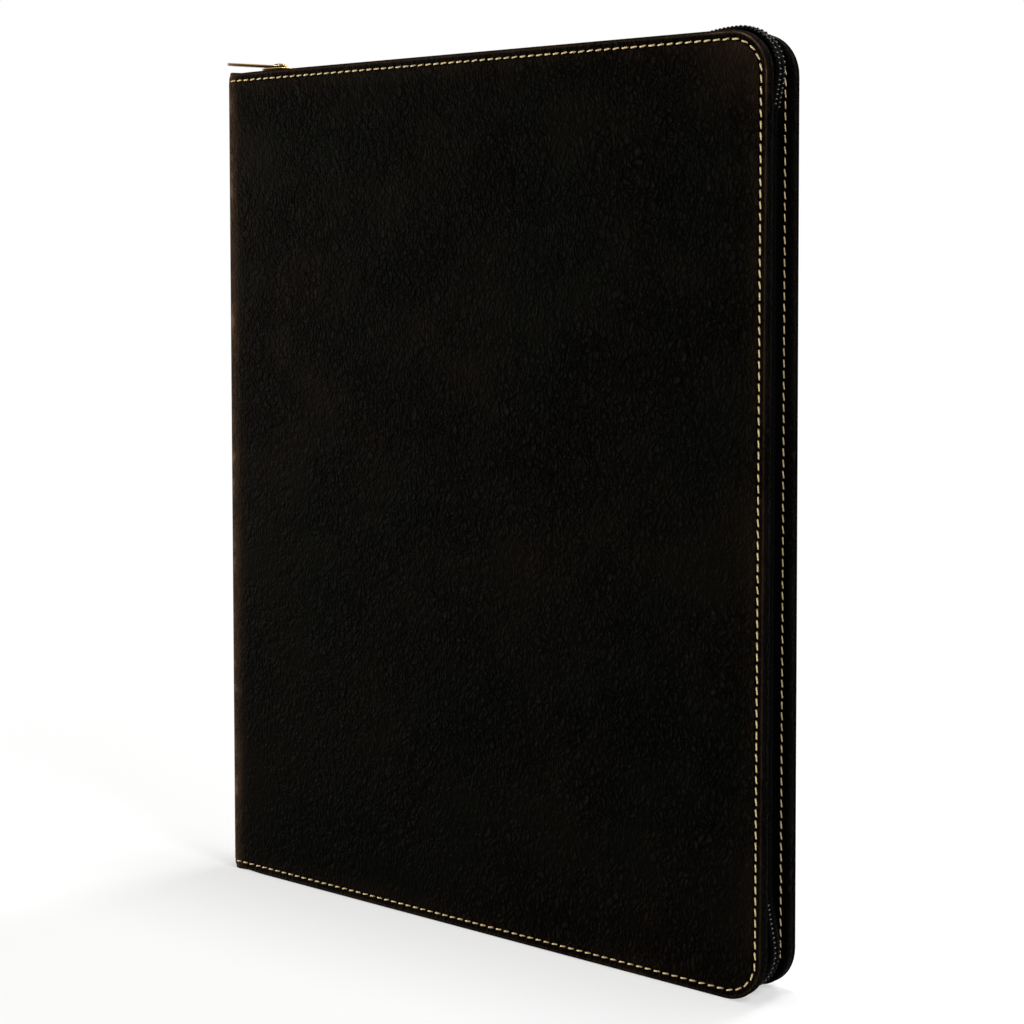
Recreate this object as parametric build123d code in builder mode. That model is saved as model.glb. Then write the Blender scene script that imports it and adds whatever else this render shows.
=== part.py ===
import os
from math import cos, degrees, radians, sin

from build123d import *

os.makedirs("parts", exist_ok=True)

# Outside of the closed case, in millimetres: it stands on its bottom edge, spine to -X, front cover to -Y
case_width = 241.0
case_height = 305.0
case_thickness = 19.0
corner_radius = 14.0
fold_radius = 4.0
half_thickness = case_thickness / 2

# Layers of a cover: the skin is turned over the board's edge, so it lies on both faces there
skin_thickness = 0.8
foam_thickness = 0.6
board_thickness = 1.4
cover_thickness = 2 * skin_thickness + foam_thickness + board_thickness
inner_face = half_thickness - cover_thickness
edge_round = 1.5
turn_in = 10.0
layer_gap = 0.05

# Living hinges: each cover has a strip of bare skin between the fold and its board
hinge_land = 4.0
cover_start = fold_radius + hinge_land
fold_gap = 0.3
fold_angle = 45.0 - degrees(fold_gap / 2 / fold_radius)
spine_thickness = 2 * skin_thickness + board_thickness
spine_half = half_thickness - fold_radius

# Zip: two tapes stand up between the covers with half a coil each, deeper along the fore edge than the ends
tape_thickness = 0.6
fore_recess = 5.6
top_recess = 2.2
bottom_recess = 2.7
tape_hem = 0.6
tape_end_gap = 0.5
tape_start = cover_start + tape_end_gap
coil_height = 2.3
coil_inside = 0.6
coil_outside = 3.2
stop_length = 2.5
stop_wall = 0.3
coil_end_gap = 1.0
coil_start = tape_start + coil_end_gap

# Near the fore corners the zip swings outwards: an easing bend, a straight climb, then a roll into the bend
ease_radius = 40.0
roll_radius = 60.0
bend_radius = 12.7
top_climb = 11.0
side_climb = 11.0
upper_recess = 0.1
upper_side_recess = 3.0
lower_side_recess = 2.5

# Slider: two plates joined by a wedge, with flanges that keep it on the coil
run_gap = 0.35
slider_length = 11.5
slider_plate = 1.0
slider_base = 1.0
flange_width = 1.0
slider_corner = 2.0
wedge_width = 0.6
wedge_length = 3.6
wedge_round = 0.2
slider_edge_round = 0.4
parking_gap = 1.75
slider_centre = coil_start + stop_length + parking_gap + slider_length / 2
slider_half = coil_outside + run_gap + flange_width
slider_top = case_height - top_recess + coil_height + run_gap + slider_plate

# Bridge on the slider, an arch that the pull tab hooks through
bridge_length = 9.2
bridge_width = 1.8
bridge_bar = 0.9
bridge_inside = 1.4
bridge_corner = 1.2

# Pull tab, lying towards the spine with its tip raised
pull_thickness = 0.9
pull_length = 26.0
pull_width = 6.6
pull_neck = 5.8
pull_tilt = 5.5
eye_length = 5.8
eye_gap = 0.4
eye_width = bridge_width + 2 * eye_gap
pull_corner = 2.0
pivot_height = slider_top + bridge_inside / 2

# Notepad on the inside of the back cover
pad_start = 14.5
pad_end_margin = 10.5
pad_margin = 13.0
pad_width = case_width - pad_start - pad_end_margin
pad_height = case_height - 2 * pad_margin
binding_thickness = 0.3
binding_depth = 20.0
backing_thickness = 0.8
slot_panel_thickness = 0.7
slot_panel_hem = 1.8
slot_panel_height = 183.0
free_depth = 3.2

# Pockets on the inside of the front cover
pocket_thickness = 0.7
pocket_start = pad_start
pocket_height = 158.0
pocket_corner = 5.0
thumb_radius = 22.0
card_width = 96.0
card_start = 38.0
card_gap = 14.0
card_base = turn_in + pocket_height + card_gap
card_heights = {"upper": 78.0, "middle": 64.0, "lower": 50.0}
card_corner = 4.0

# Pen loop on the inside of the spine
loop_wall = 0.8
loop_height = 30.0
loop_base = (case_height - loop_height) / 2
loop_clearance = 1.3
loop_half = inner_face - loop_clearance
loop_depth = pad_start - loop_clearance - spine_thickness
loop_corner = 2.5

# The origin is the middle of the footprint, from the pull's tip to the fore edge or the zip's bulge
pull_tip = slider_centre - pull_length * cos(radians(pull_tilt))
zip_bulge = case_width - upper_side_recess + coil_height
spine_x = -(pull_tip + max(case_width, zip_bulge)) / 2


def face_plane(along, y, up):
    """Plane that faces the front: its axes run from the spine to the fore edge and upwards."""
    return Plane(origin=(spine_x + along, y, up), x_dir=(1, 0, 0), z_dir=(0, -1, 0))


def level_plane(along, y, up):
    """Level plane, seen from above."""
    return Plane(origin=(spine_x + along, y, up))


def end_plane(along, y, up):
    """Plane across the case: its axes run towards the back and upwards."""
    return Plane(origin=(spine_x + along, y, up), x_dir=(0, 1, 0), z_dir=(1, 0, 0))


def draw_sheet(start, inset):
    """Sheet from a line near the spine to an inset from the fore edge, its fore corners rounded."""
    Rectangle(case_width - inset - start, case_height - 2 * inset, align=(Align.MIN, Align.MIN))
    fillet(vertices().group_by(Axis.X)[-1], corner_radius - inset)


def far_side(side, near, far):
    """The larger y of two distances from the middle plane, on the side of one cover."""
    return max(side * near, side * far)


def climb_length(rise, radius, climb):
    """Length of the straight climb that makes up a rise, between the easing bend and a bend of a radius."""
    turn = radians(climb)
    return (rise - (ease_radius + radius) * (1 - cos(turn))) / sin(turn)


def climb_reach(rise, radius, climb):
    """How far a whole swing reaches along the run, from the start of the easing bend to the crest."""
    turn = radians(climb)
    return (ease_radius + radius) * sin(turn) + climb_length(rise, radius, climb) * cos(turn)


def zip_runs(start):
    """Runs of the zip line: length and no turn for a straight, radius and right turn, degrees, for a bend."""
    top_rise = top_recess - upper_recess
    upper_rise = fore_recess - upper_side_recess
    lower_rise = fore_recess - lower_side_recess
    upper_centre = (case_width - upper_side_recess - bend_radius, case_height - upper_recess - bend_radius)
    lower_centre = (case_width - lower_side_recess - bend_radius, bottom_recess + bend_radius)
    top_swing = climb_reach(top_rise, roll_radius, top_climb)
    upper_swing = climb_reach(upper_rise, bend_radius, side_climb)
    lower_swing = climb_reach(lower_rise, bend_radius, side_climb)
    side_swings = upper_swing + lower_swing
    corner = 90.0 + side_climb
    return [
        (upper_centre[0] - top_swing - start, 0.0),
        (ease_radius, -top_climb),
        (climb_length(top_rise, roll_radius, top_climb), 0.0),
        (roll_radius, top_climb),
        (bend_radius, corner),
        (climb_length(upper_rise, bend_radius, side_climb), 0.0),
        (ease_radius, -side_climb),
        (upper_centre[1] - lower_centre[1] - side_swings, 0.0),
        (ease_radius, -side_climb),
        (climb_length(lower_rise, bend_radius, side_climb), 0.0),
        (bend_radius, corner),
        (lower_centre[0] - tape_start, 0.0),
    ]


def zip_point(along, up, heading, out):
    """Point beside the zip line, an offset outside the tape."""
    return (along - out * sin(heading), up + out * cos(heading))


def draw_zip_line(start, out):
    """Zip line from the spine end of the top run to that of the bottom run, an offset outside the tape."""
    along, up, heading = start, case_height - top_recess, 0.0
    for size, turn in zip_runs(start):
        begin = zip_point(along, up, heading, out)
        if turn == 0.0:
            along += size * cos(heading)
            up += size * sin(heading)
            Line(begin, zip_point(along, up, heading, out))
        else:
            after = heading - radians(turn)
            radius = size if turn > 0 else -size
            along += radius * (sin(heading) - sin(after))
            up += radius * (cos(after) - cos(heading))
            TangentArc(begin, zip_point(along, up, after, out), tangent=(cos(heading), sin(heading)))
            heading = after


def draw_zip_band(start, inside, outside):
    """Band between two zip lines, closed at both spine ends."""
    draw_zip_line(start, inside)
    draw_zip_line(start, outside)
    Line((start, case_height - top_recess + inside), (start, case_height - top_recess + outside))
    Line((tape_start, bottom_recess - inside), (tape_start, bottom_recess - outside))


def draw_fold(side, first, sweep):
    """Part of a rounded fold of the skin, seen from above."""
    centre = (fold_radius, side * (half_thickness - fold_radius))
    outer = CenterArc(centre, fold_radius, first, sweep)
    inner = CenterArc(centre, fold_radius - skin_thickness, first, sweep)
    Line(outer @ 0, inner @ 0)
    Line(outer @ 1, inner @ 1)


def cover_skin(side):
    """Skin of one cover: a tray turned over the board, with the bare strip and half a fold at the spine."""
    with BuildPart() as skin:
        with BuildSketch(face_plane(cover_start, far_side(side, inner_face, half_thickness), 0)):
            draw_sheet(cover_start, 0)
        extrude(amount=cover_thickness)
        rim = skin.faces().filter_by(Axis.Y).edges()
        rim = rim.filter_by_position(Axis.X, spine_x + cover_start + edge_round, spine_x + 2 * case_width)
        fillet(rim, edge_round)
        cavity_inner, cavity_outer = inner_face + skin_thickness, half_thickness - skin_thickness
        with BuildSketch(face_plane(cover_start, far_side(side, cavity_inner, cavity_outer), skin_thickness)):
            draw_sheet(cover_start, skin_thickness)
        extrude(amount=cavity_outer - cavity_inner, mode=Mode.SUBTRACT)
        with BuildSketch(face_plane(cover_start, far_side(side, inner_face, cavity_inner), turn_in)):
            draw_sheet(cover_start, turn_in)
        extrude(amount=skin_thickness, mode=Mode.SUBTRACT)
        with BuildSketch(level_plane(fold_radius, side * (half_thickness - skin_thickness / 2), 0)):
            Rectangle(hinge_land, skin_thickness, align=(Align.MIN, Align.CENTER))
        extrude(amount=case_height)
        with BuildSketch(level_plane(0, 0, 0)):
            with BuildLine():
                draw_fold(side, side * 90, side * fold_angle)
            make_face()
        extrude(amount=case_height)
    return skin.part


def cover_layer(side, inner, outer, inset):
    """Flat layer inside one cover."""
    with BuildPart() as layer:
        with BuildSketch(face_plane(cover_start, far_side(side, inner, outer), inset)):
            draw_sheet(cover_start, inset)
        extrude(amount=outer - inner)
    return layer.part


def cover_lining(side):
    """Lining of one cover: it fills the window between turned edges, then steps down onto the bare strip."""
    inset = turn_in + layer_gap
    height = case_height - 2 * inset
    land_outer = half_thickness - skin_thickness
    with BuildPart() as lining:
        skin_level = far_side(side, inner_face, inner_face + skin_thickness)
        with BuildSketch(face_plane(cover_start, skin_level, inset)):
            draw_sheet(cover_start, inset)
        extrude(amount=skin_thickness)
        with BuildSketch(level_plane(cover_start, side * (inner_face + land_outer) / 2, inset)):
            Rectangle(skin_thickness, land_outer - inner_face, align=(Align.MAX, Align.CENTER))
        extrude(amount=height)
        with BuildSketch(level_plane(cover_start, side * (land_outer - skin_thickness / 2), inset)):
            Rectangle(hinge_land - layer_gap, skin_thickness, align=(Align.MAX, Align.CENTER))
        extrude(amount=height)
    return lining.part


def zip_tape(side):
    """Half of the zip's tape: a hem that lies on the cover's rim and a wall that carries the coil."""
    hem_inner = inner_face - tape_thickness
    with BuildPart() as tape:
        with BuildSketch(face_plane(tape_start, far_side(side, hem_inner, inner_face), tape_hem)):
            draw_sheet(tape_start, tape_hem)
        extrude(amount=tape_thickness)
        with BuildSketch(face_plane(0, far_side(side, hem_inner, inner_face), 0)):
            with BuildLine():
                draw_zip_line(tape_start, 0)
                Line((tape_start, case_height - top_recess), (tape_start, bottom_recess))
            make_face()
        extrude(amount=tape_thickness)
        hem_inset = fore_recess + tape_thickness
        with BuildSketch(face_plane(tape_start, far_side(side, hem_inner, inner_face), hem_inset)):
            draw_sheet(tape_start, hem_inset)
        extrude(amount=tape_thickness, mode=Mode.SUBTRACT)
        with BuildSketch(face_plane(0, far_side(side, coil_inside, inner_face), 0)):
            with BuildLine():
                draw_zip_band(tape_start, -tape_thickness, 0)
            make_face()
        extrude(amount=inner_face - coil_inside)
    return tape.part


def zip_coil(side, start):
    """Half of the zip's coil, a bar along the outer face of the tape."""
    with BuildPart() as coil:
        with BuildSketch(face_plane(0, far_side(side, coil_inside, coil_outside), 0)):
            with BuildLine():
                draw_zip_band(start, layer_gap, coil_height)
            make_face()
        extrude(amount=coil_outside - coil_inside)
    return coil.part


def zip_stop(line, direction):
    """Stop crimped over the end of the coil's back half; direction is 1 on the top run, -1 on the bottom."""
    level = line + direction * coil_height / 2
    middle = (coil_inside + coil_outside) / 2
    width = coil_outside - coil_inside
    with BuildPart() as stop:
        with BuildSketch(end_plane(coil_start, middle, level)):
            Rectangle(width + 2 * stop_wall, coil_height + 2 * stop_wall)
            Rectangle(width + 2 * layer_gap, coil_height + 2 * layer_gap, mode=Mode.SUBTRACT)
            slot_up = -direction * coil_height / 2
            with Locations((0, slot_up)):
                Rectangle(width + 4 * stop_wall, 2 * stop_wall + layer_gap, mode=Mode.SUBTRACT)
        extrude(amount=stop_length)
    return stop.part


def inner_panel(start, width, base, height, y_low, depth, corner):
    """Flat panel with rounded upper corners on the inside of a cover."""
    with BuildPart() as panel:
        with BuildSketch(face_plane(start, y_low + depth, base)):
            Rectangle(width, height, align=(Align.MIN, Align.MIN))
            fillet(vertices().group_by(Axis.Y)[-1], corner)
        extrude(amount=depth)
    return panel.part


def write(part, name):
    """Names one piece and writes it."""
    part.label = name
    export_step(part, "parts/" + name + ".step")


# Covers
for name, side in {"front": -1, "back": 1}.items():
    foam_inner = half_thickness - skin_thickness - foam_thickness
    foam_outer = half_thickness - skin_thickness - layer_gap
    board_inner = inner_face + skin_thickness + layer_gap
    board_outer = foam_inner - layer_gap
    layer_inset = skin_thickness + layer_gap
    write(cover_skin(side), name + "_skin")
    write(cover_layer(side, foam_inner, foam_outer, layer_inset), name + "_foam")
    write(cover_layer(side, board_inner, board_outer, layer_inset), name + "_board")
    write(cover_lining(side), name + "_lining")
    write(zip_tape(side), "zip_tape_" + name)

# The front half of the coil begins past the parked slider, so the front cover can swing away from it
write(zip_coil(-1, slider_centre + slider_length / 2 + run_gap), "zip_coil_front")
write(zip_coil(1, coil_start), "zip_coil_back")
write(zip_stop(case_height - top_recess, 1), "zip_top_stop")
write(zip_stop(bottom_recess, -1), "zip_bottom_stop")

# Spine
with BuildPart() as spine_skin:
    with BuildSketch(level_plane(0, 0, 0)):
        Rectangle(spine_thickness, 2 * spine_half, align=(Align.MIN, Align.CENTER))
    extrude(amount=case_height)
    with BuildSketch(level_plane(skin_thickness, 0, skin_thickness)):
        Rectangle(board_thickness, 2 * spine_half, align=(Align.MIN, Align.CENTER))
    extrude(amount=case_height - 2 * skin_thickness, mode=Mode.SUBTRACT)
    with BuildSketch(level_plane(skin_thickness + board_thickness, 0, turn_in)):
        Rectangle(skin_thickness, 2 * spine_half, align=(Align.MIN, Align.CENTER))
    extrude(amount=case_height - 2 * turn_in, mode=Mode.SUBTRACT)
    for side in (-1, 1):
        with BuildSketch(level_plane(0, 0, 0)):
            with BuildLine():
                draw_fold(side, 180, -side * fold_angle)
            make_face()
        extrude(amount=case_height)
write(spine_skin.part, "spine_skin")

with BuildPart() as spine_board:
    with BuildSketch(level_plane(skin_thickness + layer_gap, 0, skin_thickness + layer_gap)):
        Rectangle(board_thickness - 2 * layer_gap, 2 * spine_half, align=(Align.MIN, Align.CENTER))
    extrude(amount=case_height - 2 * skin_thickness - 2 * layer_gap)
write(spine_board.part, "spine_board")

with BuildPart() as spine_lining:
    with BuildSketch(level_plane(skin_thickness + board_thickness, 0, turn_in + layer_gap)):
        Rectangle(skin_thickness, 2 * spine_half, align=(Align.MIN, Align.CENTER))
    extrude(amount=case_height - 2 * turn_in - 2 * layer_gap)
write(spine_lining.part, "spine_lining")

with BuildPart() as pen_loop:
    with BuildSketch(level_plane(spine_thickness + layer_gap, 0, loop_base)):
        Rectangle(loop_depth, 2 * loop_half, align=(Align.MIN, Align.CENTER))
        fillet(vertices(), loop_corner)
    extrude(amount=loop_height)
    with BuildSketch(level_plane(spine_thickness + layer_gap + loop_wall, 0, loop_base)):
        Rectangle(loop_depth - 2 * loop_wall, 2 * (loop_half - loop_wall), align=(Align.MIN, Align.CENTER))
        fillet(vertices(), loop_corner - loop_wall)
    extrude(amount=loop_height, mode=Mode.SUBTRACT)
write(pen_loop.part, "pen_loop")

# Pockets inside the front cover
with BuildPart() as document_pocket:
    with BuildSketch(face_plane(pocket_start, -inner_face + pocket_thickness, turn_in)):
        Rectangle(case_width - turn_in - pocket_start, pocket_height, align=(Align.MIN, Align.MIN))
        with Locations(((case_width - turn_in - pocket_start) / 2, pocket_height + thumb_radius / 2)):
            Circle(thumb_radius, mode=Mode.SUBTRACT)
        fillet(vertices().group_by(Axis.Y)[0], pocket_corner)
    extrude(amount=pocket_thickness)
write(document_pocket.part, "document_pocket")

for order, (name, height) in enumerate(card_heights.items()):
    low = -inner_face + order * (pocket_thickness + layer_gap)
    card = inner_panel(card_start, card_width, card_base, height, low, pocket_thickness, card_corner)
    write(card, "card_pocket_" + name)

# Notepad and the panel that holds its backing
backing_outer = inner_face - binding_thickness - layer_gap
backing_inner = backing_outer - backing_thickness
panel_inner = backing_inner - layer_gap - slot_panel_thickness
sheets_outer = panel_inner - layer_gap
sheets_inner = -inner_face + pocket_thickness + free_depth
pad_top = case_height - pad_margin

with BuildPart() as pad_slot_panel:
    panel_start, panel_base = pad_start - slot_panel_hem, pad_margin - slot_panel_hem
    panel_width = pad_width + 2 * slot_panel_hem
    with BuildSketch(face_plane(panel_start, inner_face, panel_base)):
        Rectangle(panel_width, slot_panel_height, align=(Align.MIN, Align.MIN))
    extrude(amount=inner_face - panel_inner)
    room_base = pad_margin - layer_gap
    with BuildSketch(face_plane(pad_start - layer_gap, inner_face, room_base)):
        Rectangle(pad_width + 2 * layer_gap, slot_panel_height, align=(Align.MIN, Align.MIN))
    extrude(amount=inner_face - panel_inner - slot_panel_thickness, mode=Mode.SUBTRACT)
write(pad_slot_panel.part, "pad_slot_panel")

with BuildPart() as notepad_backing:
    with BuildSketch(face_plane(pad_start, backing_outer, pad_margin)):
        Rectangle(pad_width, pad_height, align=(Align.MIN, Align.MIN))
    extrude(amount=backing_thickness)
write(notepad_backing.part, "notepad_backing")

with BuildPart() as notepad_sheets:
    with BuildSketch(face_plane(pad_start, sheets_outer, pad_margin)):
        Rectangle(pad_width, pad_height, align=(Align.MIN, Align.MIN))
    extrude(amount=sheets_outer - sheets_inner)
write(notepad_sheets.part, "notepad_sheets")

with BuildPart() as notepad_binding:
    strip_low = sheets_inner - layer_gap - binding_thickness
    strip_high = inner_face - layer_gap
    with BuildSketch(end_plane(pad_start, strip_low, pad_top - binding_depth)):
        strip_width, strip_height = strip_high - strip_low, binding_depth + layer_gap + binding_thickness
        Rectangle(strip_width, strip_height, align=(Align.MIN, Align.MIN))
        with Locations((binding_thickness, 0)):
            hollow_width = strip_width - 2 * binding_thickness
            hollow_height = strip_height - binding_thickness
            Rectangle(hollow_width, hollow_height, align=(Align.MIN, Align.MIN), mode=Mode.SUBTRACT)
    extrude(amount=pad_width)
write(notepad_binding.part, "notepad_binding")

# Slider
slider_start = slider_centre - slider_length / 2
coil_top = case_height - top_recess + coil_height
tape_under = case_height - top_recess - tape_thickness
with BuildPart() as slider_body:
    with BuildSketch(level_plane(slider_start, 0, coil_top + run_gap)):
        Rectangle(slider_length, 2 * slider_half, align=(Align.MIN, Align.CENTER))
        fillet(vertices(), slider_corner)
    extrude(amount=slider_plate)
    fillet(slider_body.edges().group_by(Axis.Z)[-1], slider_edge_round)
    with BuildSketch(level_plane(slider_start, 0, tape_under - run_gap)):
        Rectangle(slider_length, 2 * slider_half, align=(Align.MIN, Align.CENTER))
        fillet(vertices(), slider_corner)
    extrude(amount=-slider_base)
    for side in (-1, 1):
        flange_foot = case_height - top_recess + run_gap
        flange_middle = side * (slider_half - flange_width / 2)
        with BuildSketch(level_plane(slider_start + slider_corner, flange_middle, flange_foot)):
            Rectangle(slider_length - 2 * slider_corner, flange_width, align=(Align.MIN, Align.CENTER))
        extrude(amount=coil_top + run_gap - flange_foot)
    with BuildSketch(level_plane(slider_start, 0, tape_under - run_gap)):
        Rectangle(wedge_length, wedge_width, align=(Align.MIN, Align.CENTER))
        fillet(vertices().group_by(Axis.X)[-1], wedge_round)
    extrude(amount=coil_top + 2 * run_gap - tape_under)
write(slider_body.part, "slider_body")

with BuildPart() as slider_bridge:
    with BuildSketch(face_plane(slider_centre, bridge_width / 2, slider_top)):
        Rectangle(bridge_length, bridge_inside + bridge_bar, align=(Align.CENTER, Align.MIN))
        fillet(vertices().group_by(Axis.Y)[-1], bridge_corner)
        bridge_opening = bridge_length - 2 * bridge_bar
        Rectangle(bridge_opening, bridge_inside, align=(Align.CENTER, Align.MIN), mode=Mode.SUBTRACT)
    extrude(amount=bridge_width)
write(slider_bridge.part, "slider_bridge")

# Pull tab, drawn flat in a plane that is tilted about the pivot
tilt = radians(pull_tilt)
pull_plane = Plane(
    origin=(spine_x + slider_centre, 0, pivot_height),
    x_dir=(-cos(tilt), 0, sin(tilt)),
    z_dir=(sin(tilt), 0, cos(tilt)),
)
with BuildPart() as pull_tab:
    with BuildSketch(pull_plane.offset(-pull_thickness / 2)):
        with BuildLine():
            eye_back = pull_thickness / 2
            Polyline(
                (-eye_back, -pull_neck / 2),
                (-eye_back, pull_neck / 2),
                (eye_length + pull_neck / 2, pull_neck / 2),
                (2 * pull_length / 3, pull_width / 2),
                (pull_length, pull_width / 2),
                (pull_length, -pull_width / 2),
                (2 * pull_length / 3, -pull_width / 2),
                (eye_length + pull_neck / 2, -pull_neck / 2),
                close=True,
            )
        make_face()
        fillet(vertices().group_by(Axis.X)[-1], pull_corner)
        with Locations((eye_back, 0)):
            Rectangle(eye_length - eye_back, eye_width, align=(Align.MIN, Align.CENTER), mode=Mode.SUBTRACT)
    extrude(amount=pull_thickness)
write(pull_tab.part, "pull_tab")
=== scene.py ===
"""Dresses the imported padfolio: leatherette skins, stitching, zip, linings, pockets and notepad."""

import logging
import math
from collections.abc import Callable, Iterator, Sequence
from contextlib import contextmanager
from dataclasses import dataclass, field
from enum import Enum

import bmesh
import bpy
import numpy as np
from mathutils import Matrix, Vector, noise


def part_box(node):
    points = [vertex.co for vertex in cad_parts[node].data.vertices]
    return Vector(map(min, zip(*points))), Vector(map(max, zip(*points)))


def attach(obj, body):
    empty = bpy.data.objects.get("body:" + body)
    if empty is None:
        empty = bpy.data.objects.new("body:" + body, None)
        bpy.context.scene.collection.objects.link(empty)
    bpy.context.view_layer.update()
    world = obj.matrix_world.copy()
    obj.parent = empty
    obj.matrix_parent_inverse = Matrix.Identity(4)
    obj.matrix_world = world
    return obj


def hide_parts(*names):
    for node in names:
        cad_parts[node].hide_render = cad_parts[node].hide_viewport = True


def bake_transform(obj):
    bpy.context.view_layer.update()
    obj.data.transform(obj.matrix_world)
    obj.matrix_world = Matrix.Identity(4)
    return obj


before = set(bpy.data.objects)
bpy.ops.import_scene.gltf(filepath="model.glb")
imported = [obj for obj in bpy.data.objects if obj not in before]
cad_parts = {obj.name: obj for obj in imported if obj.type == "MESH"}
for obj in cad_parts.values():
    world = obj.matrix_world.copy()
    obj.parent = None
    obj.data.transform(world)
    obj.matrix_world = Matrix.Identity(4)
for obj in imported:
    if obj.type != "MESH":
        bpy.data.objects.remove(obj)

LOG = logging.getLogger("padfolio")
MILLIMETRE = 0.001
THREAD_SEED = 11
Inputs = dict[str | int, object]


class Side(Enum):
    """A cover of the case; the value is the direction of y in which it faces."""

    FRONT = -1
    BACK = 1

    @property
    def word(self) -> str:
        """The name of the cover's body."""
        return self.name.lower()


class Pick(Enum):
    """What a selection in edit mode is made of."""

    VERT = "verts"
    EDGE = "edges"
    FACE = "faces"


@dataclass(frozen=True)
class CaseSizes:
    """Sizes of the closed case in millimetres; u runs from the spine's outer face to the fore edge."""

    width: float = 241.0
    height: float = 305.0
    half_thickness: float = 9.5
    corner_radius: float = 14.0
    fold_radius: float = 4.0
    cover_thickness: float = 3.6
    spine_thickness: float = 3.0
    skin_thickness: float = 0.8
    board_start: float = 8.0
    turn_in: float = 10.0
    stitch_inset: float = 2.9
    lower_slack: float = 1.2
    upper_slack: float = -0.8

    @property
    def inner_face(self) -> float:
        """Distance of a cover's inner face from the middle plane."""
        return self.half_thickness - self.cover_thickness

    @property
    def spine_half(self) -> float:
        """Half of the flat part of the spine."""
        return self.half_thickness - self.fold_radius

    @property
    def fold_length(self) -> float:
        """Length of the skin round one fold."""
        return self.fold_radius * math.pi / 2

    @property
    def sheet_width(self) -> float:
        """Unrolled width of one skin, from the middle of the spine to the fore edge."""
        return self.spine_half + self.fold_length + self.width - self.fold_radius

    @property
    def spine_place(self) -> float:
        """Where the spine's outer face lies along x, read from the frame."""
        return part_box("spine_skin")[0].x / MILLIMETRE


CASE = CaseSizes()


@dataclass(frozen=True)
class Station:
    """A place on a surface, in case millimetres, with the way along a row and the way out of the surface."""

    point: Vector
    along: Vector
    out: Vector


@dataclass
class Track:
    """A flat line of straight runs and arcs, walked from its start along the first axis.

    Each run is a length and the angle that the line turns to the right over it.
    """

    start: tuple[float, float]
    runs: list[tuple[float, float]]
    step: float = 0.25
    points: np.ndarray = field(init=False)
    headings: np.ndarray = field(init=False)
    marks: np.ndarray = field(init=False)

    def __post_init__(self) -> None:
        """Walks the runs in short steps."""
        here = np.array(self.start, float)
        heading, travelled = 0.0, 0.0
        points, headings, marks = [here.copy()], [heading], [travelled]
        for length, turn in self.runs:
            count = max(2, math.ceil(length / self.step))
            for _ in range(count):
                middle = heading - turn / count / 2
                here += length / count * np.array((math.cos(middle), math.sin(middle)))
                heading -= turn / count
                travelled += length / count
                points.append(here.copy())
                headings.append(heading)
                marks.append(travelled)
        self.points, self.headings, self.marks = np.array(points), np.array(headings), np.array(marks)

    @property
    def length(self) -> float:
        """The whole length of the line."""
        return float(self.marks[-1])

    def at(self, mark: float) -> tuple[float, float, float]:
        """Finds a place on the line.

        Args:
            mark: Distance from the start.

        Returns:
            The two coordinates and the heading there.
        """
        first = float(np.interp(mark, self.marks, self.points[:, 0]))
        second = float(np.interp(mark, self.marks, self.points[:, 1]))
        return first, second, float(np.interp(mark, self.marks, self.headings))

    def spread(self, pitch: float) -> np.ndarray:
        """Marks at an even pitch that fills the line.

        Args:
            pitch: Wanted distance between marks.

        Returns:
            The middles of the equal parts of the line.
        """
        count = max(1, round(self.length / pitch))
        return (np.arange(count) + 0.5) * self.length / count


def corner_track(start: float, width: float, inset: float) -> Track:
    """Line along the top, the fore edge and the bottom at an inset, with round corners.

    Args:
        start: Where the line begins and ends along the width.
        width: Where the fore edge lies along the width.
        inset: Distance from the edges.

    Returns:
        The line, in width and height.
    """
    bend = CASE.corner_radius - inset
    run = width - CASE.corner_radius - start
    corner = (bend * math.pi / 2, math.pi / 2)
    side = CASE.height - 2 * CASE.corner_radius
    return Track((start, CASE.height - inset), [(run, 0.0), corner, (side, 0.0), corner, (run, 0.0)])


def rim_place(u: float, z: float, inset: float) -> tuple[float, float]:
    """Slides a point near the edge square to the edge, to a given inset.

    Args:
        u: Distance from the spine.
        z: Height.
        inset: Wanted distance from the nearest edge.

    Returns:
        The new u and z.
    """
    radius = CASE.corner_radius
    centre_u = CASE.width - radius
    centre_z = min(max(z, radius), CASE.height - radius)
    if u <= centre_u:
        return u, (CASE.height - inset if z > CASE.height / 2 else inset)
    away = math.hypot(u - centre_u, z - centre_z)
    reach = (radius - inset) / away
    return centre_u + (u - centre_u) * reach, centre_z + (z - centre_z) * reach


def rim_inset(u: float, z: float) -> float:
    """Distance of a point from the nearest outer edge of a cover."""
    radius = CASE.corner_radius
    if u <= CASE.width - radius:
        return min(z, CASE.height - z)
    centre_z = min(max(z, radius), CASE.height - radius)
    return radius - math.hypot(u - CASE.width + radius, z - centre_z)


def ease(value: float) -> float:
    """Smooth step from 0 to 1."""
    held = min(max(value, 0.0), 1.0)
    return held * held * (3 - 2 * held)


# Modelling by hand

def activate(obj: bpy.types.Object) -> None:
    """Makes one object the only selected and the active one."""
    bpy.ops.object.select_all(action="DESELECT")
    obj.select_set(True)
    bpy.context.view_layer.objects.active = obj


@contextmanager
def editing(obj: bpy.types.Object) -> Iterator[None]:
    """Opens one object in edit mode and leaves it again."""
    activate(obj)
    bpy.ops.object.mode_set(mode="EDIT")
    yield
    bpy.ops.object.mode_set(mode="OBJECT")


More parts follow.
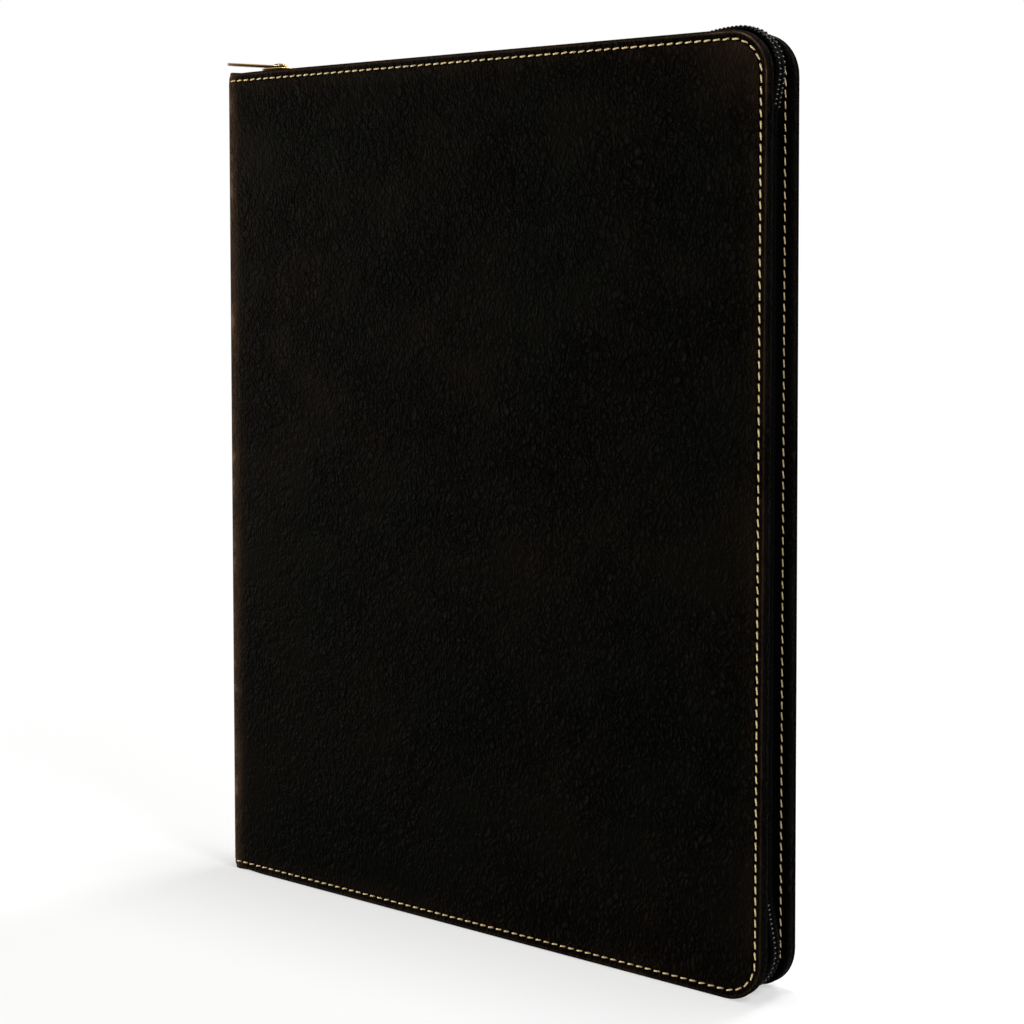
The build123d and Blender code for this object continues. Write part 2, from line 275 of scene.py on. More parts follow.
def pick(obj: bpy.types.Object, kind: Pick, test: Callable[..., bool]) -> None:
    """Selects in edit mode by place or normal.

    Args:
        obj: The object that is being edited.
        kind: Whether vertices, edges or faces are selected.
        test: Says of each whether it is selected.
    """
    bpy.ops.mesh.select_mode(type=kind.name)
    bpy.ops.mesh.select_all(action="DESELECT")
    mesh = bmesh.from_edit_mesh(obj.data)
    for part in getattr(mesh, kind.value):
        if test(part):
            part.select_set(True)
    mesh.select_flush_mode()
    bmesh.update_edit_mesh(obj.data)


def edge_middle(edge: bmesh.types.BMEdge) -> Vector:
    """The middle of an edge."""
    return (edge.verts[0].co + edge.verts[1].co) / 2


def edge_way(edge: bmesh.types.BMEdge) -> Vector:
    """The direction of an edge."""
    return (edge.verts[1].co - edge.verts[0].co).normalized()


def modify(obj: bpy.types.Object, kind: str, **settings: object) -> None:
    """Adds a modifier with its settings and applies it."""
    activate(obj)
    modifier = obj.modifiers.new(kind.title(), kind)
    for name, value in settings.items():
        setattr(modifier, name, value)
    bpy.ops.object.modifier_apply(modifier=modifier.name)


def round_edges(obj: bpy.types.Object, width: float, segments: int = 2) -> None:
    """Rounds every sharp edge of a piece."""
    modify(obj, "BEVEL", width=width, segments=segments, limit_method="ANGLE", angle_limit=math.radians(35))


def add_box(name: str, low: Sequence[float], high: Sequence[float]) -> bpy.types.Object:
    """Adds a block between two corners, in case millimetres.

    Args:
        name: The piece's name.
        low: Lowest corner: u, y and z.
        high: Highest corner.

    Returns:
        The block, with its place in its mesh.
    """
    bpy.ops.object.select_all(action="DESELECT")
    bpy.ops.mesh.primitive_cube_add(size=1.0, location=[(a + b) / 2 for a, b in zip(low, high)])
    obj = bpy.context.active_object
    obj.name = name
    obj.scale = [b - a for a, b in zip(low, high)]
    bpy.ops.object.transform_apply(location=True, rotation=True, scale=True)
    return obj


def add_sheet(
    name: str, columns: int, rows: int, shape: Callable[[int, int], Sequence[float]]
) -> bpy.types.Object:
    """Adds a grid and lays each of its crossings in place, as a sheet is laid over a form.

    Args:
        name: The piece's name.
        columns: Number of crossings along the first way.
        rows: Number of crossings along the second way.
        shape: Gives u, y and z of the crossing at a column and row.

    Returns:
        The sheet, in case millimetres.
    """
    bpy.ops.object.select_all(action="DESELECT")
    bpy.ops.mesh.primitive_grid_add(x_subdivisions=columns - 1, y_subdivisions=rows - 1, size=1.0)
    obj = bpy.context.active_object
    obj.name = name
    for vertex in obj.data.vertices:
        column = round((vertex.co.x + 0.5) * (columns - 1))
        row = round((vertex.co.y + 0.5) * (rows - 1))
        vertex.co = shape(column, row)
    obj.data.update()
    return obj


def face_outwards(obj: bpy.types.Object, near: Sequence[float], out: Sequence[float]) -> None:
    """Turns an open sheet's faces so that the one nearest to a point looks a given way."""
    spot, way = Vector(near), Vector(out)
    nearest = min(obj.data.polygons, key=lambda face: (face.center - spot).length)
    if nearest.normal.dot(way) < 0:
        with editing(obj):
            bpy.ops.mesh.select_all(action="SELECT")
            bpy.ops.mesh.flip_normals()


def join(name: str, *objs: bpy.types.Object) -> bpy.types.Object:
    """Joins several models into one piece."""
    activate(objs[0])
    for obj in objs[1:]:
        obj.select_set(True)
    bpy.ops.object.join()
    objs[0].name = name
    return objs[0]


def smooth(obj: bpy.types.Object, degrees: float = 40.0) -> None:
    """Shades a piece smooth, apart from its sharp edges."""
    activate(obj)
    bpy.ops.object.shade_smooth_by_angle(angle=math.radians(degrees))


def settle(obj: bpy.types.Object) -> None:
    """Brings a piece from case millimetres to its place in the frame, in metres.

    The case is a little slack: at the fore edge the back cover stands away at the bottom
    and leans in at the top.
    """
    points = np.empty(len(obj.data.vertices) * 3)
    obj.data.vertices.foreach_get("co", points)
    points = points.reshape(-1, 3)
    height = np.clip(points[:, 2] / CASE.height, 0.0, 1.0)
    forwards = np.clip(points[:, 0] / CASE.width, 0.0, 1.0)
    behind = np.clip(points[:, 1] / CASE.half_thickness, 0.0, 1.0)
    slack = CASE.lower_slack + (CASE.upper_slack - CASE.lower_slack) * height
    points[:, 1] += slack * behind * forwards**2 * (3 - 2 * forwards)
    points[:, 0] += CASE.spine_place
    obj.data.vertices.foreach_set("co", (points * MILLIMETRE).ravel())
    obj.data.update()


def in_frame(u: float, y: float, z: float) -> tuple[float, float, float]:
    """A point given in case millimetres, in the frame's metres."""
    return ((CASE.spine_place + u) * MILLIMETRE, y * MILLIMETRE, z * MILLIMETRE)


def copies(unit: bpy.types.Object, name: str, places: Sequence[Matrix]) -> bpy.types.Object:
    """Copies a small model to many places as one piece, and removes the model.

    Args:
        unit: The model, about the origin.
        name: The new piece's name.
        places: Where each copy goes, in case millimetres.

    Returns:
        The piece, with the model's UV map in each copy.
    """
    source = unit.data
    count = len(source.vertices)
    corners = np.array([(*vertex.co, 1.0) for vertex in source.vertices])
    outlines = [tuple(face.vertices) for face in source.polygons]
    maps = np.array([loop.uv for loop in source.uv_layers[0].data])
    points = np.concatenate([corners @ np.array(place).T for place in places])[:, :3]
    faces = [tuple(v + k * count for v in outline) for k in range(len(places)) for outline in outlines]
    mesh = bpy.data.meshes.new(name)
    mesh.from_pydata(points.tolist(), [], faces)
    mesh.uv_layers.new(name="UVMap").data.foreach_set("uv", np.tile(maps, (len(places), 1)).ravel())
    mesh.shade_smooth()
    piece = bpy.data.objects.new(name, mesh)
    bpy.context.scene.collection.objects.link(piece)
    bpy.data.objects.remove(unit)
    return piece


def station_matrix(station: Station, turn: float = 0.0) -> Matrix:
    """Turns a station into a place for a copy: x along the row, z out of the surface.

    Args:
        station: The place on the surface.
        turn: Angle by which the copy is turned about the way out.

    Returns:
        The place.
    """
    across = station.out.cross(station.along).normalized()
    along = across.cross(station.out).normalized()
    axes = Matrix((along, across, station.out)).transposed().to_4x4()
    return Matrix.Translation(station.point) @ axes @ Matrix.Rotation(turn, 4, "Z")


# Finishes

def linear(colour: str) -> tuple[float, float, float, float]:
    """Turns an sRGB hex value into linear red, green, blue and alpha."""
    parts = [int(colour[k : k + 2], 16) / 255 for k in (1, 3, 5)]
    values = [c / 12.92 if c <= 0.04045 else ((c + 0.055) / 1.055) ** 2.4 for c in parts]
    return (*values, 1.0)


def per_metre(size: float) -> float:
    """Texture scale at which a pattern repeats once in a size given in millimetres."""
    return 1.0 / (size * MILLIMETRE)


def bands_per_metre(size: float) -> float:
    """Scale of a wave texture at which it repeats once in a size given in millimetres."""
    return per_metre(size) * math.tau / 20


def add_node(
    tree: bpy.types.NodeTree, kind: str, inputs: Inputs | None = None, **settings: object
) -> bpy.types.Node:
    """Adds a node with its settings and inputs.

    Args:
        tree: The material's node tree.
        kind: The node's type name, without its common beginning.
        inputs: Values or sockets for its inputs, by name or number.
        settings: Properties of the node itself.

    Returns:
        The node.
    """
    node = tree.nodes.new("ShaderNode" + kind)
    for name, value in settings.items():
        setattr(node, name, value)
    for name, value in (inputs or {}).items():
        if isinstance(value, bpy.types.NodeSocket):
            tree.links.new(value, node.inputs[name])
        else:
            node.inputs[name].default_value = value
    return node


@dataclass(frozen=True)
class Surface:
    """What a finish draws: tones laid over a base by their shares, roughness, and height for the bump."""

    base: str
    layers: Sequence[tuple[bpy.types.NodeSocket, str]]
    rough: bpy.types.NodeSocket | float
    height: bpy.types.NodeSocket | None = None
    strength: float = 1.0


@dataclass(frozen=True)
class Finish:
    """A surface finish: what the material is called, its even properties and its relief in millimetres."""

    title: str
    metallic: float = 0.0
    specular: float = 0.5
    ior: float = 1.5
    relief: float = 0.0

    def material(self) -> bpy.types.Material:
        """Makes the material once and returns it afterwards."""
        found = bpy.data.materials.get(self.title)
        if found is not None:
            return found
        made = bpy.data.materials.new(self.title)
        made.use_nodes = True
        tree = made.node_tree
        tree.nodes.clear()
        drawn = self.paint(tree)
        colour = linear(drawn.base)
        for share, tone in drawn.layers:
            mixed = add_node(tree, "Mix", {0: share, 6: colour, 7: linear(tone)}, data_type="RGBA")
            colour = mixed.outputs[2]
        inputs: Inputs = {"Base Color": colour, "Roughness": drawn.rough, "Metallic": self.metallic}
        inputs |= {"Specular IOR Level": self.specular, "IOR": self.ior}
        if drawn.height is not None:
            depth = self.relief * MILLIMETRE
            bump = add_node(
                tree, "Bump", {"Height": drawn.height, "Strength": drawn.strength, "Distance": depth}
            )
            inputs["Normal"] = bump.outputs[0]
        shader = add_node(tree, "BsdfPrincipled", inputs)
        add_node(tree, "OutputMaterial", {"Surface": shader.outputs[0]}, is_active_output=True)
        return made

    def paint(self, tree: bpy.types.NodeTree) -> Surface:
        """Draws the patterns of the finish."""
        raise NotImplementedError

    def dress(self, obj: bpy.types.Object) -> None:
        """Gives a piece this finish alone."""
        obj.data.materials.clear()
        obj.data.materials.append(self.material())


@dataclass(frozen=True)
class Leatherette(Finish):
    """Polyurethane leatherette, embossed with a creased grain.

    It gives the eye a near-black sheet with brown clouds in it, a painted highlight on the
    crease ridges and painted shade in the grooves, and rims and folds burnished to brown,
    partly as real abrasion and partly as a painted sheen. Widths and reaches are in millimetres.
    """

    dark: str = "#060705"
    cloud: str = "#0f0a07"
    # Painted highlight on the crease ridges and painted shade in the grooves.
    ridge_highlight: str = "#15130f"
    groove: str = "#010101"
    # Burnish on rims and folds: partly real abrasion, partly a painted sheen where edges catch the light; the
    # bare colour is its palest, also partly painted sheen.
    burnish: str = "#403024"
    bare_and_sheen: str = "#6c5745"
    crease_width: float = 1.6
    crease_slant: float = 0.3
    crease_stretch: float = 0.45
    drift_width: float = 9.0
    drift_reach: float = 8.0
    patch_width: float = 30.0
    # Creases, with their painted highlight and shade, grow stronger towards the fore edge.
    fore_span: tuple[float, float] = (-90.0, 50.0)
    fore_share: tuple[float, float] = (0.7, 1.45)
    cloud_width: float = 55.0
    rub_and_sheen_width: float = 9.0
    pore_width: float = 0.7
    pore_height: float = 0.18
    bulge_width: float = 2.6
    bulge_height: float = 2.6
    relief: float = 0.48
    rough: tuple[float, float] = (0.42, 0.55)

    def wander(self, tree: bpy.types.NodeTree, place: bpy.types.NodeSocket) -> bpy.types.NodeSocket:
        """Pushes a place about by a slow noise, so that what is drawn from it wanders."""
        slow, reach = per_metre(self.drift_width), self.drift_reach * MILLIMETRE
        push = add_node(tree, "TexNoise", {"Vector": place, "Scale": slow, "Detail": 3.0})
        centred = add_node(
            tree, "VectorMath", {0: push.outputs["Color"], 1: (0.5, 0.5, 0.5)}, operation="SUBTRACT"
        )
        drift = add_node(tree, "VectorMath", {0: centred.outputs[0], "Scale": reach}, operation="SCALE")
        return add_node(tree, "VectorMath", {0: place, 1: drift.outputs[0]}, operation="ADD").outputs[0]

    def creased(self, tree: bpy.types.NodeTree, place: bpy.types.NodeSocket) -> bpy.types.NodeSocket:
        """How creased the skin is: in patches, and more towards the fore edge, where the key lamp's light is
        weaker; this strengthens the bump and the painted ridge highlight and groove shade there.
        """
        wide = per_metre(self.patch_width)
        patches = add_node(tree, "TexNoise", {"Vector": place, "Scale": wide, "Detail": 3.0})
        spread = add_node(
            tree, "MapRange", {"Value": patches.outputs[0], "From Min": 0.36, "From Max": 0.6, "To Min": 0.25}
        )
        axes = add_node(tree, "SeparateXYZ", {0: place})
        (near, far), (least, most) = self.fore_span, self.fore_share
        span = {"From Min": near * MILLIMETRE, "From Max": far * MILLIMETRE, "To Min": least, "To Max": most}
        towards_fore = add_node(tree, "MapRange", {"Value": axes.outputs[0], **span})
        both = add_node(tree, "Math", {0: spread.outputs[0], 1: towards_fore.outputs[0]}, operation="MULTIPLY")
        return both.outputs[0]

    def paint(self, tree: bpy.types.NodeTree) -> Surface:
        """Clouds and burnish (partly painted sheen) in the colour; creases in the bump, and in the colour as
        painted highlight on the ridges and painted shade in the grooves; bulges and pores in the bump.
        """
        place = add_node(tree, "TexCoord").outputs["Object"]
        moved, patch = self.wander(tree, place), self.creased(tree, place)
        slant, stretch = (0.0, self.crease_slant, 0.0), (1.0, 1.0, self.crease_stretch)
        slanted = add_node(tree, "Mapping", {"Vector": moved, "Rotation": slant, "Scale": stretch})
        cells = add_node(
            tree,
            "TexVoronoi",
            {"Vector": slanted.outputs[0], "Scale": per_metre(self.crease_width)},
            feature="DISTANCE_TO_EDGE",
        )
        valley = add_node(
            tree,
            "MapRange",
            {"Value": cells.outputs[0], "From Min": 0.4, "From Max": 0.0},
            interpolation_type="SMOOTHSTEP",
        )
        crease = add_node(tree, "Math", {0: valley.outputs[0], 1: patch}, operation="MULTIPLY")
        # Painted highlight on the crease ridges, in patches.
        lit = add_node(
            tree, "MapRange", {"Value": cells.outputs[0], "From Min": 0.2, "From Max": 0.5, "To Max": 0.45}
        )
        raised = add_node(tree, "Math", {0: lit.outputs[0], 1: patch}, operation="MULTIPLY")

        wide = per_metre(self.cloud_width)
        clouds = add_node(tree, "TexNoise", {"Vector": place, "Scale": wide, "Detail": 5.0})
        amount = add_node(tree, "MapRange", {"Value": clouds.outputs[0], "From Min": 0.4, "From Max": 0.8})
        # Burnish from the skin's attribute, partly real abrasion and partly painted sheen.
        wear_and_sheen = add_node(tree, "Attribute", attribute_name="burnish")
        rub_and_sheen = add_node(tree, "TexNoise", {"Vector": place, "Scale": per_metre(self.rub_and_sheen_width), "Detail": 4.0})
        span: Inputs = {"Value": rub_and_sheen.outputs[0], "From Min": 0.3, "From Max": 0.7}
        pale_spots = add_node(tree, "MapRange", {**span, "To Min": 0.4})
        polish = add_node(tree, "MapRange", {**span, "To Min": self.rough[0], "To Max": self.rough[1]})
        worn_and_sheen = add_node(tree, "Math", {0: wear_and_sheen.outputs["Fac"], 1: pale_spots.outputs[0]}, operation="MULTIPLY")
        through_and_sheen = add_node(tree, "MapRange", {"Value": worn_and_sheen.outputs[0], "From Min": 0.62, "From Max": 1.0})
        # Painted shade in the crease grooves, weaker where the rim is burnished.
        groove_shade_strength = add_node(tree, "MapRange", {"Value": wear_and_sheen.outputs["Fac"], "To Min": 0.5, "To Max": 0.0})
        shade = add_node(tree, "Math", {0: crease.outputs[0], 1: groove_shade_strength.outputs[0]}, operation="MULTIPLY")
        layers = [
            (amount.outputs[0], self.cloud),
            (worn_and_sheen.outputs[0], self.burnish),
            (through_and_sheen.outputs[0], self.bare_and_sheen),
            (raised.outputs[0], self.ridge_highlight),
            (shade.outputs[0], self.groove),
        ]

        fine, coarse = per_metre(self.pore_width), per_metre(self.bulge_width)
        pores = add_node(tree, "TexNoise", {"Vector": place, "Scale": fine, "Detail": 3.0})
        grain = add_node(tree, "Math", {0: pores.outputs[0], 1: self.pore_height}, operation="MULTIPLY")
        bulges = add_node(
            tree, "TexNoise", {"Vector": moved, "Scale": coarse, "Detail": 1.0, "Distortion": 0.3}
        )
        swollen = add_node(tree, "Math", {0: bulges.outputs[0], 1: patch}, operation="MULTIPLY")
        rounded = add_node(
            tree,
            "Math",
            {0: swollen.outputs[0], 1: self.bulge_height, 2: grain.outputs[0]},
            operation="MULTIPLY_ADD",
        )
        height = add_node(tree, "Math", {0: rounded.outputs[0], 1: crease.outputs[0]}, operation="SUBTRACT")
        return Surface(self.dark, layers, polish.outputs[0], height.outputs[0])


@dataclass(frozen=True)
class SewingThread(Finish):
    """Twisted polyester thread: cream dashes with a soft shine, golden brown towards the ends as painted
    shade where they dive in.
    """

    light: str = "#ffeebc"
    shade: str = "#a9702e"
    plies: float = 1.2
    twist: float = 0.6
    relief: float = 0.1
    rough: float = 0.55

    def paint(self, tree: bpy.types.NodeTree) -> Surface:
        """Plies wind round each stitch and its ends are darker with painted shade, on the stitch's own UV
        map.
        """
        around = add_node(tree, "TexCoord").outputs["UV"]
        twisted = add_node(tree, "Mapping", {"Vector": around, "Rotation": (0.0, 0.0, self.twist)})
        ply = add_node(
            tree,
            "TexWave",
            {"Vector": twisted.outputs[0], "Scale": self.plies, "Distortion": 0.6},
            wave_profile="SIN",
        )
        axes = add_node(tree, "SeparateXYZ", {0: around})
        shifted = add_node(tree, "Math", {0: axes.outputs[1], 1: 0.5}, operation="SUBTRACT")
        outwards = add_node(tree, "Math", {0: shifted.outputs[0]}, operation="ABSOLUTE")
        # Painted shade: the ends of each stitch stay golden brown.
        middle = add_node(
            tree,
            "MapRange",
            {"Value": outwards.outputs[0], "From Min": 0.48, "From Max": 0.3},
            interpolation_type="SMOOTHSTEP",
        )
        mixed = add_node(tree, "MapRange", {"Value": ply.outputs[1], "To Min": 0.75, "To Max": 1.0})
        amount = add_node(tree, "Math", {0: mixed.outputs[0], 1: middle.outputs[0]}, operation="MULTIPLY")
        return Surface(self.shade, [(amount.outputs[0], self.light)], self.rough, ply.outputs[1], 0.5)


@dataclass(frozen=True)
class WovenCloth(Finish):
    """Woven polyester: a matt dark cloth with a fine diagonal rib.

    The threads are drawn coarser than they are, so that they show.
    """

    warp: str = "#17171a"
    weft: str = "#0b0b0d"
    thread: float = 0.9
    dust_width: float = 14.0
    relief: float = 0.12
    slant: float = 0.785
    rough: float = 0.85

    def paint(self, tree: bpy.types.NodeTree) -> Surface:
        """Two crossing ribs, one for each set of threads."""
        place = add_node(tree, "TexCoord").outputs["Object"]
        ribs = []
        for turn in (self.slant, -self.slant):
            turned = add_node(tree, "Mapping", {"Vector": place, "Rotation": (0.0, turn, 0.0)})
            rib = add_node(
                tree,
                "TexWave",
                {"Vector": turned.outputs[0], "Scale": bands_per_metre(self.thread), "Distortion": 0.4},
                bands_direction="X",
            )
            ribs.append(rib.outputs[1])
        weave = add_node(tree, "Math", {0: ribs[0], 1: 0.4, 2: ribs[1]}, operation="MULTIPLY_ADD")
        wide = per_metre(self.dust_width)
        dust = add_node(tree, "TexNoise", {"Vector": place, "Scale": wide, "Detail": 4.0})
        amount = add_node(tree, "Math", {0: weave.outputs[0], 1: dust.outputs[0]}, operation="MULTIPLY")
        return Surface(self.weft, [(amount.outputs[0], self.warp)], self.rough, weave.outputs[0], 0.7)


@dataclass(frozen=True)
class MouldedNylon(Finish):
    """Drawn nylon monofilament, set into a coil: black, with painted highlights as pale spots on the crowns
    of its turns round the bends.
    """

    dark: str = "#020202"
    light: str = "#050505"
    # Painted highlight on the crowns of the turns.
    pale_spots: str = "#a8a49c"
    mark_width: float = 2.0
    rough: tuple[float, float] = (0.2, 0.3)

    def paint(self, tree: bpy.types.NodeTree) -> Surface:
        """Slight drawing marks in colour and gloss, and the painted highlight on the crowns from the UV map.
        """
        coordinates = add_node(tree, "TexCoord")
        place, wide = coordinates.outputs["Object"], per_metre(self.mark_width)
        marks = add_node(tree, "TexNoise", {"Vector": place, "Scale": wide, "Detail": 3.0}).outputs[0]
        crown = add_node(tree, "SeparateXYZ", {0: coordinates.outputs["UV"]})
        # Painted highlight on the crown of each turn that the UV map marks.
        spot = add_node(tree, "Math", {0: crown.outputs[0], 1: 2.0}, operation="POWER")
        polish = add_node(
            tree, "MapRange", {"Value": marks, "To Min": self.rough[0], "To Max": self.rough[1]}
        )
        layers = [(marks, self.light), (spot.outputs[0], self.pale_spots)]
        return Surface(self.dark, layers, polish.outputs[0])


@dataclass(frozen=True)
class PlatedBrass(Finish):
    """Antique brass plating: warm gold on what faces up, painted dark shade on the sides and undersides,
    scratched.
    """

    bright: str = "#e2bd69"
    deep: str = "#b98a3c"
    side_shade: str = "#1c1206"
    cloud_width: float = 4.0
    scratch_width: float = 0.3
    scratch_stretch: float = 0.06
    relief: float = 0.03
    rough: tuple[float, float] = (0.16, 0.38)

    def paint(self, tree: bpy.types.NodeTree) -> Surface:
        """Clouds in the plating, painted shade on what does not face up, long thin scratches in gloss and
        bump.
        """
        coordinates = add_node(tree, "TexCoord")
        place, wide = coordinates.outputs["Object"], per_metre(self.cloud_width)
        clouds = add_node(tree, "TexNoise", {"Vector": place, "Scale": wide, "Detail": 4.0})
        facing = add_node(tree, "SeparateXYZ", {0: coordinates.outputs["Normal"]})
        # Painted shade: faces that do not look up turn dark.
        span = {"From Min": 0.1, "From Max": 0.65, "To Min": 1.0, "To Max": 0.0}
        dull = add_node(tree, "MapRange", {"Value": facing.outputs[2], **span})
        drawn = add_node(tree, "Mapping", {"Vector": place, "Scale": (self.scratch_stretch, 1.0, 1.0)})
        thin = per_metre(self.scratch_width)
        streaks = add_node(tree, "TexNoise", {"Vector": drawn.outputs[0], "Scale": thin, "Detail": 2.0})
        hairs = streaks.outputs[0]
        polish = add_node(
            tree, "MapRange", {"Value": hairs, "To Min": self.rough[0], "To Max": self.rough[1]}
        )
        layers = [(clouds.outputs[0], self.bright), (dull.outputs[0], self.side_shade)]
        return Surface(self.deep, layers, polish.outputs[0], hairs, 0.25)


@dataclass(frozen=True)
class RuledPaper(Finish):
    """Uncoated writing paper, printed with pale blue rules and a red margin: warm white and quite matt."""

    sheet: str = "#f1eee4"
    fibre: str = "#e6e1d3"
    rule: str = "#8fb0cc"
    margin: str = "#cf8d8d"
    fibre_width: float = 1.2
    pitch: float = 7.1
    rule_width: float = 0.35
    margin_place: float = 46.0
    first_rule: float = 250.0
    relief: float = 0.05
    rough: float = 0.9

    def paint(self, tree: bpy.types.NodeTree) -> Surface:
        """Fibres in the white, then the printed lines at their real pitch."""
        place, fine = add_node(tree, "TexCoord").outputs["Object"], per_metre(self.fibre_width)
        fibres = add_node(tree, "TexNoise", {"Vector": place, "Scale": fine, "Detail": 5.0}).outputs[0]
        axes = add_node(tree, "SeparateXYZ", {0: place})
        turns = add_node(tree, "Math", {0: axes.outputs[2], 1: per_metre(self.pitch)}, operation="MULTIPLY")
        within = add_node(tree, "Math", {0: turns.outputs[0]}, operation="FRACT")
        share, top = self.rule_width / self.pitch, self.first_rule * MILLIMETRE
        line = add_node(tree, "Math", {0: within.outputs[0], 1: share}, operation="LESS_THAN")
        low = add_node(tree, "Math", {0: axes.outputs[2], 1: top}, operation="LESS_THAN")
        ruled = add_node(tree, "Math", {0: line.outputs[0], 1: low.outputs[0]}, operation="MULTIPLY")
        stripe, width = in_frame(self.margin_place, 0.0, 0.0)[0], self.rule_width * MILLIMETRE
        beside = add_node(tree, "Math", {0: axes.outputs[0], 1: stripe, 2: width}, operation="COMPARE")
        layers = [(fibres, self.fibre), (ruled.outputs[0], self.rule), (beside.outputs[0], self.margin)]
        return Surface(self.sheet, layers, self.rough, fibres, 0.15)


@dataclass(frozen=True)
class StackedPaper(Finish):
    """Trimmed edges of a block of sheets: pale lines, one beside the other, with painted shade in the gaps
    between them.

    The sheets are drawn thicker than they are, so that they show.
    """

    sheet: str = "#f0ece0"
    # Painted shade between the sheets.
    gap: str = "#cfc8b6"
    leaf: float = 0.4 * math.tau
    relief: float = 0.1
    rough: float = 0.9

    def paint(self, tree: bpy.types.NodeTree) -> Surface:
        """Bands across the block's thickness, uneven along their length, with the gap colour as painted shade
        between them.
        """
        place = add_node(tree, "TexCoord").outputs["Object"]
        leaves = add_node(
            tree,
            "TexWave",
            {"Vector": place, "Scale": bands_per_metre(self.leaf), "Distortion": 1.5, "Detail Scale": 2.0},
            bands_direction="Y",
        ).outputs[1]
        return Surface(self.gap, [(leaves, self.sheet)], self.rough, leaves, 0.6)


@dataclass(frozen=True)
class PressedBoard(Finish):
    """Grey board pressed from waste paper: dull, flecked with fibres."""

    base: str = "#8d8475"
    fleck: str = "#6d6456"
    fleck_width: float = 0.8
    relief: float = 0.1
    rough: float = 0.92

    def paint(self, tree: bpy.types.NodeTree) -> Surface:
        """Fibre flecks in colour and bump."""
        place, fine = add_node(tree, "TexCoord").outputs["Object"], per_metre(self.fleck_width)
        flecks = add_node(tree, "TexNoise", {"Vector": place, "Scale": fine, "Detail": 6.0}).outputs[0]
        return Surface(self.base, [(flecks, self.fleck)], self.rough, flecks, 0.3)


@dataclass(frozen=True)
class RibbedElastic(Finish):
    """Woven elastic webbing: black, with raised ribs that run along its length."""

    dark: str = "#0a0a0b"
    light: str = "#1c1c1f"
    rib: float = 1.5
    yarn_width: float = 0.6
    relief: float = 0.2
    rough: float = 0.8

    def paint(self, tree: bpy.types.NodeTree) -> Surface:
        """Ribs across the height of the loop."""
        place, fine = add_node(tree, "TexCoord").outputs["Object"], per_metre(self.yarn_width)
        ribs = add_node(
            tree, "TexWave", {"Vector": place, "Scale": bands_per_metre(self.rib)}, bands_direction="Z"
        )
        yarn = add_node(tree, "TexNoise", {"Vector": place, "Scale": fine, "Detail": 2.0})
        both = add_node(
            tree, "Math", {0: yarn.outputs[0], 1: 0.4, 2: ribs.outputs[1]}, operation="MULTIPLY_ADD"
        ).outputs[0]
        return Surface(self.dark, [(both, self.light)], self.rough, both, 0.8)


COVER_LEATHERETTE = Leatherette("embossed_leatherette", specular=0.004)
POCKET_LEATHERETTE = Leatherette(
    "fine_grain_leatherette",
    specular=0.12,
    dark="#161513",
    cloud="#1d1a16",
    # Painted highlight on the crease ridges and painted shade in the grooves.
    ridge_highlight="#201e1a",
    groove="#0c0b0a",
    crease_width=0.9,
    relief=0.09,
)
THREAD = SewingThread("twisted_polyester_thread", specular=0.3)
TAPE_CLOTH = WovenCloth("woven_polyester_tape", specular=0.0, warp="#040404", weft="#020202", thread=1.2)
LINING_CLOTH = WovenCloth("twill_lining", specular=0.25, warp="#2c2a2b", weft="#161516", thread=2.0)
BINDING_CLOTH = WovenCloth(
    "bookbinding_cloth", specular=0.3, warp="#2e2622", weft="#1a1512", thread=1.6, slant=0.0
)
COIL_NYLON = MouldedNylon("drawn_nylon", specular=0.015)
BRASS = PlatedBrass("plated_brass", metallic=1.0)
PAPER = RuledPaper("ruled_writing_paper", specular=0.3)
PAPER_EDGES = StackedPaper("trimmed_paper_edges", specular=0.3)
BOARD = PressedBoard("pressed_grey_board", specular=0.3)
ELASTIC = RibbedElastic("woven_elastic", specular=0.3)


def complete(piece: bpy.types.Object, finish: Finish, degrees: float = 40.0) -> bpy.types.Object:
    """Shades a modelled piece smooth, brings it to its place in the frame and dresses it.

    Args:
        piece: The model, in case millimetres.
        finish: What it is made of.
        degrees: Angle past which an edge stays sharp.

    Returns:
        The piece.
    """
    smooth(piece, degrees)
    settle(piece)
    finish.dress(piece)
    return piece


def report(piece: bpy.types.Object) -> bpy.types.Object:
    """Reports a finished piece and its triangles."""
    triangles = sum(len(face.vertices) - 2 for face in piece.data.polygons)
    LOG.info("%s: %d triangles", piece.name, triangles)
    return piece


